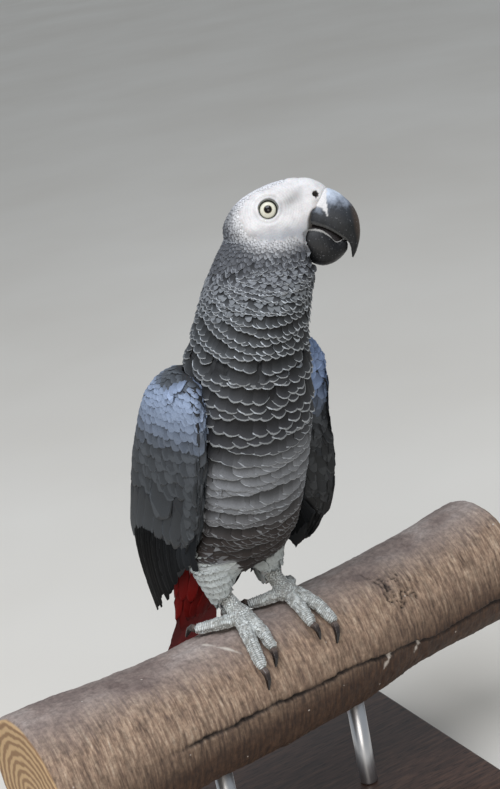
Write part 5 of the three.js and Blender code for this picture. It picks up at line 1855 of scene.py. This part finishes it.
def flight_feathers(side_name, side, lean, inner):
    """The long feathers on a wing's outer face, or the same ones where the inner face shows them."""
    sheet = WingTips(side_name, side, inner)
    made, tints = [], []
    for k in range(7 if inner else FLIGHT_COUNT):
        share = k / (FLIGHT_COUNT - 1)
        tip = (10 + 69 * share**0.85 - lean + vary(-1, 1),
               33 - 50 * share + vary(-4, 4) * (share < 0.95))
        root = (-2 + 50 * share - lean * 0.3, 74 - 8 * share)
        steps = np.linspace(0, 1, 12)
        back = root[0] + (tip[0] - root[0]) * (0.75 * steps + 0.25 * steps**2)
        up = root[1] + (tip[1] - root[1]) * steps
        out = ease(-up, -62, -42)
        off = -2.6 + (2.1 + 0.07 * k + 0.15 * vary(-1, 1)) * out
        path = sheet.place(back, up, off)
        face = np.array([sheet.face(b, u) for b, u in zip(back, up)])
        forward = unit(np.gradient(path, axis=0))
        across = unit(np.cross(face, forward))
        halves = (4.0, 2.2) if sheet.side > 0 else (2.2, 4.0)
        notches, tip_share = (0, 0.12) if inner else (3, 0.24)
        tilted = across + face * 0.1 * sheet.side
        made.append(blade(path, tilted, face, halves, 0.45, notches, tip_share))
        tints.append((linear(0x1E2124) * (1 - share) ** 2 + linear(0x070708)) * vary(0.6, 1.6))
    return made, tints


black_feather = new_material("feather_black_vane", make_feather, 0.75, 0.08, SOFT_ROOT_SHADE)
for side_name, side in SIDES.items():
    lean = 14 if side > 0 else 0
    made, tints = flight_feathers(side_name, side, lean, False)
    if side > 0:
        inner, inner_tints = flight_feathers(side_name, side, lean, True)
        made, tints = made + inner, tints + inner_tints
    name = f"wing_{side_name}_flight_feathers"
    piece(name, blades_mesh(name, made, tints, 0.06), black_feather,
          [f"wing_{side_name}_primaries"])

# %% [markdown]
# ## Tail
#
# The tail is short and square, twelve broad feathers of a deep, clear red that darkens in the shade
# of the wings; its red is painted lighter than the coverts' to lift that shade. The middle pair lies
# on top and each outer one tucks beneath its neighbour.

# %% Tail feathers
def tail_mesh():
    made, tints = [], []
    for k in sorted(range(-6, 6), key=lambda k: -abs(k + 0.5)):
        side = k + 0.5
        steps = np.linspace(0, 1, 10)
        along = 6 + (TAIL_LENGTH - 0.32 * side**2 - 6 - vary(0, 1.2)) * steps
        across = side * (1.0 + 2.4 * steps)
        path = tail_place(along, across, 1.1 - 0.32 * abs(side) - 0.008 * across**2)
        ways, faces = (np.tile(way, (10, 1)) for way in (TAIL_SIDE - TAIL_FACE * 0.04 * side, TAIL_FACE))
        halves = (6.2, 4.0) if side > 0 else (4.0, 6.2)
        made.append(blade(path, ways, faces, halves, 0.5, 4, 0.1))
        # painted light: the red is lifted above the coverts' against the shadow that falls on the tail
        tints.append(linear(TAIL_RED) * vary(1.1, 1.5))
    return blades_mesh("tail_feathers", made, tints, 0.1)


piece("tail_feathers", tail_mesh(), red_feather, ["tail"])

# %% [markdown]
# ## Feet: scales and claws
#
# A parrot's foot has two toes forward and two back. Its skin is armoured with grains about a
# millimetre across, and on top of each toe they widen to bars. Grains are low closed domes scattered
# over the foot by the same tree as the feathers, closer along a toe than across it.

# %% The grains
def grain_mesh(name, seed):
    """A low closed dome, 1 long and 1 wide, on a hexagonal foot."""
    chance = np.random.default_rng(seed)
    angle = np.arange(6) * math.pi / 3 + chance.uniform(-0.15, 0.15, 6)
    low, high = (rows_of(reach * np.cos(angle), 0.5 + reach * np.sin(angle), up)
                 for reach, up in ((0.56, -0.5), (0.4, 0.75)))
    points = np.concatenate([low, high, [[0, 0.5, 1.0]]])
    faces = [(k, (k + 1) % 6, 6 + (k + 1) % 6, 6 + k) for k in range(6)]
    faces += [(6 + k, 6 + (k + 1) % 6, 12) for k in range(6)] + [range(5, -1, -1)]
    mesh = face_out(mesh_of(name, points / MM, faces))
    # rim runs from the grain's foot to its top, for the painted shade at its base
    mark(mesh, rim=[0.0] * 6 + [0.7] * 6 + [1.0])
    corner_map(mesh, "vane", points[:, :2] + (0.5, 0.0))
    return mesh


GRAIN_GAP = 0.95
TOES = range(1, 5)
foot_surface = Surface(feet_shell)
GRAINS = variants("grain", [grain_mesh("grain", k) for k in range(VARIANTS)])


def middle_line(node, steps=7, near=None):
    """Places down the middle of a long solid, from the end that is nearer to a place."""
    points = points_of(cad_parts[node].data)
    axis = np.linalg.svd(points - points.mean(0), full_matrices=False)[2][0]
    along = (points - points.mean(0)) @ axis
    cuts = np.linspace(along.min(), along.max(), steps + 1)
    within_cuts = [(along >= a) & (along <= b) for a, b in zip(cuts, cuts[1:])]
    line = np.array([points[inside].mean(0) for inside in within_cuts if inside.any()])
    if near is not None and math.dist(line[0], near) >= math.dist(line[-1], near):
        line = line[::-1]
    return line


def toe_bars(line):
    """Rows of plates across the top of a toe, each row a millimetre on from the last."""
    bars, length = [], travelled(line)
    way = unit(line[-1] - line[0])
    across = unit(np.cross(way, (0, 0, 1)))
    up = np.cross(across, way)
    for place in np.arange(-1.0, length[-1] + 2.5, 1.05):
        middle = between(place, length, line) + way * (place - np.clip(place, 0, length[-1]))
        for turn in np.radians([-70, -35, 0, 35, 70]):
            out = up * math.cos(turn) + across * math.sin(turn)
            found = foot_surface.hit(middle + out * 12, -out)
            if found and math.dist(found[0], middle) < 6.5:
                bars.append((found[0] + way * vary(-0.12, 0.12), found[1], way))
    return bars


def foot_grains(side_name):
    """Roots for the grains and bars of one foot, each lying along its toe or its shank."""
    points, normals = points_of(feet_shell), normals_of(feet_shell)
    shank = f"leg_{side_name}_shank"
    ankle = np.mean(middle_line(shank), 0)
    nodes = [f"foot_{side_name}_toe_{k}" for k in TOES] + [shank]
    lines = [middle_line(node, near=ankle) for node in nodes]
    middles = np.concatenate(lines)
    ways = np.concatenate([unit(np.gradient(line, axis=0)) for line in lines])
    nearest = np.argmin(((points[:, None] - middles[None]) ** 2).sum(-1), 1)
    distance = np.sqrt(((points - middles[nearest]) ** 2).sum(-1))
    seen = normals[:, 2] - 0.35 * normals[:, 1] > -0.45
    keep = (distance < 9) & (points[:, 2] > PERCH_TOP[2] - 34) & seen
    points, normals = points[keep], normals[keep]
    way = level_with(ways[nearest[keep]], normals)
    picked = sparse(points, np.full(len(points), GRAIN_GAP))
    bars = [bar for line in lines[:4] for bar in toe_bars(line)]
    bars = np.array(bars).swapaxes(0, 1)
    picked = [k for k in picked if ((bars[0] - points[k]) ** 2).sum(-1).min() > 1.0]
    points, normals, way = (np.concatenate([rows[picked], bar])
                            for rows, bar in zip((points, normals, way), bars))
    way = level_with(way, normals)
    count = len(points)
    is_bar = np.arange(count) >= len(picked)
    paler = 0.93 + 0.35 * ease(points[:, 2] - PERCH_TOP[2], 6, 16)
    long = (np.where(is_bar, 0.92, 1.18) * vary(0.92, 1.08, count))[:, None]
    tint = linear(0xD4D8D6) * (vary(0.8, 1.1, count) * paler)[:, None]
    return {"at": points - way * (long / 2), "chord": way * long, "lean": normals, "tint": tint,
            "wide": np.where(is_bar, 2.5, 1.18), "uv": skin_uv(points), "edge": np.full(count, 0.6)}


def make_scale(add, place):
    """Foot scale: dry keratin, blue-grey, paler on top of each grain and darkened towards its base and
    the gaps between grains as painted shade.
    """
    tint = add("Attribute", attribute_name="tint").outputs["Color"]
    rim = add("Attribute", attribute_name="rim").outputs["Fac"]
    cloud = add("TexNoise", Vector=place, Scale=per_mm(2.5), Detail=3.0)
    fine = add("TexNoise", Vector=place, Scale=per_mm(0.5), Detail=2.0)
    # painted shade: each grain darkens towards its base
    depth = add("ValToRGB", stops=[(0.0, 0.72), (0.45, 0.95), (1.0, 1.0)], i0=rim)
    shaded = add("Mix", **TIMES, i0=1.0, i6=tint, i7=depth)
    warm = add("Mix", **TIMES, i0=0.8, i6=shaded,
               i7=add("ValToRGB", stops=[(0.3, 0xA9A29A), (0.6, 0xFFFFFF)], i0=cloud))
    return {"Base_Color": warm, "Roughness": 0.6, "IOR": 1.5, "bump": (fine, 0.05, 0.5)}


scale_finish = new_material("foot_scale_keratin", make_scale)
for side_name in SIDES:
    roots = foot_grains(side_name)
    coat_piece(f"foot_{side_name}_scales", roots, GRAINS, scale_finish, 0.13, 0.08)

# %% Claws
def claw_mesh(node):
    """A claw's solid, smoothed and drawn in a little, marked by how near its tip each point is."""
    mesh = remeshed([node], 0.35, 5)
    toe = middle_line(node.replace("claw", "toe")).mean(0)
    root, *_, tip = middle_line(node, 5, toe)
    mark(mesh, to_tip=(points_of(mesh) - root) @ unit(tip - root) / math.dist(root, tip))
    sink(mesh, 0.2)
    return mesh


def make_claw(add, place):
    """Claw horn: dark brown to black, polished by wear, paler where it leaves the toe."""
    to_tip = add("Attribute", attribute_name="to_tip").outputs["Fac"]
    streaks = add("TexNoise", Vector=place, Scale=per_mm(1.2), Detail=3.0)
    stained = frayed(add, to_tip, streaks, 0.3)
    colour = add("ValToRGB", stops=[(0.0, 0x5A4F49), (0.18, 0x2E2522), (0.6, 0x120E0D)], i0=stained)
    return {"Base_Color": colour, "Roughness": 0.22, "IOR": 1.55, "bump": (streaks, 0.06, 0.4)}


claw_finish = new_material("claw_keratin", make_claw)
for side_name in SIDES:
    for k in TOES:
        node = f"foot_{side_name}_claw_{k}"
        piece(f"{node}_horn", claw_mesh(node), claw_finish, [node])

# %% [markdown]
# ## Floor and light
#
# A pale floor and soft light from above, as in an open-air aviary under a bright sky: the top of the
# bird is lit, its underside falls into shade, and no hard shadow hides the feathers' edges.

# %% Floor and light
FLOOR_SIZE = 24000.0


def make_floor(add, place):
    """Screed, floated smooth and painted a warm off-white, with faint clouds 400 mm across."""
    cloud = add("TexNoise", Vector=place, Scale=per_mm(400), Detail=3.0)
    colour = add("ValToRGB", stops=[(0.3, 0xD8D3CA), (0.7, 0xE0DCD4)], i0=cloud)
    return {"Base_Color": colour, "Roughness": 0.9}


def lay_floor():
    half = FLOOR_SIZE / 2
    corners = [(-half, -half, 0), (half, -half, 0), (half, half, 0), (-half, half, 0)]
    mesh = mesh_of("floor", corners, [(0, 1, 2, 3)])
    mesh.materials.append(new_material("pale_floor", make_floor))
    shown("floor", mesh)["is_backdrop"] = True


def add_light(name, place, target, size, power, colour):
    """A round panel of light, placed in metres and aimed at a target."""
    light = shown(name, bpy.data.lights.new(name, "AREA"))
    light.data.shape = "DISK"
    light.data.size = size
    light.data.energy = power
    light.data.color = linear(colour)
    light.location = Vector(place)
    light.rotation_euler = (Vector(target) - Vector(place)).to_track_quat("-Z", "Y").to_euler()


def light_scene():
    world = bpy.data.worlds.new("sky")
    bpy.context.scene.world = world
    world.use_nodes = True
    background = next(n for n in world.node_tree.nodes if n.type == "BACKGROUND")
    background.inputs["Color"].default_value = rgba(0xDDE3EA)
    background.inputs["Strength"].default_value = 0.55
    add_light("sky_panel", (-0.5, -0.5, 1.7), (0, 0, 0.2), 1.3, 26, 0xF4F8FF)
    add_light("front_fill", (-0.9, -1.5, 0.7), (0, 0, 0.2), 0.9, 7, 0xFFF6EA)
    bpy.context.scene.view_settings.view_transform = "Standard"


lay_floor()
light_scene()
print("floor and lights placed")

# %% [markdown]
# ## Sizes, and the end
#
# How far the dressed bird's box reaches past that of its solids is printed along each axis.
# The dressed bird has to keep to the size of its solids.

# %% Write the sizes and finish
bpy.context.view_layer.update()
dressed_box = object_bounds()
for way, low, high, cad_low, cad_high in zip("xyz", *dressed_box, *cad_box):
    beyond = [round((dressed - cad) / MM, 2) for dressed, cad in ((low, cad_low), (high, cad_high))]
    print(way, "low and high, mm beyond the solids:", beyond)
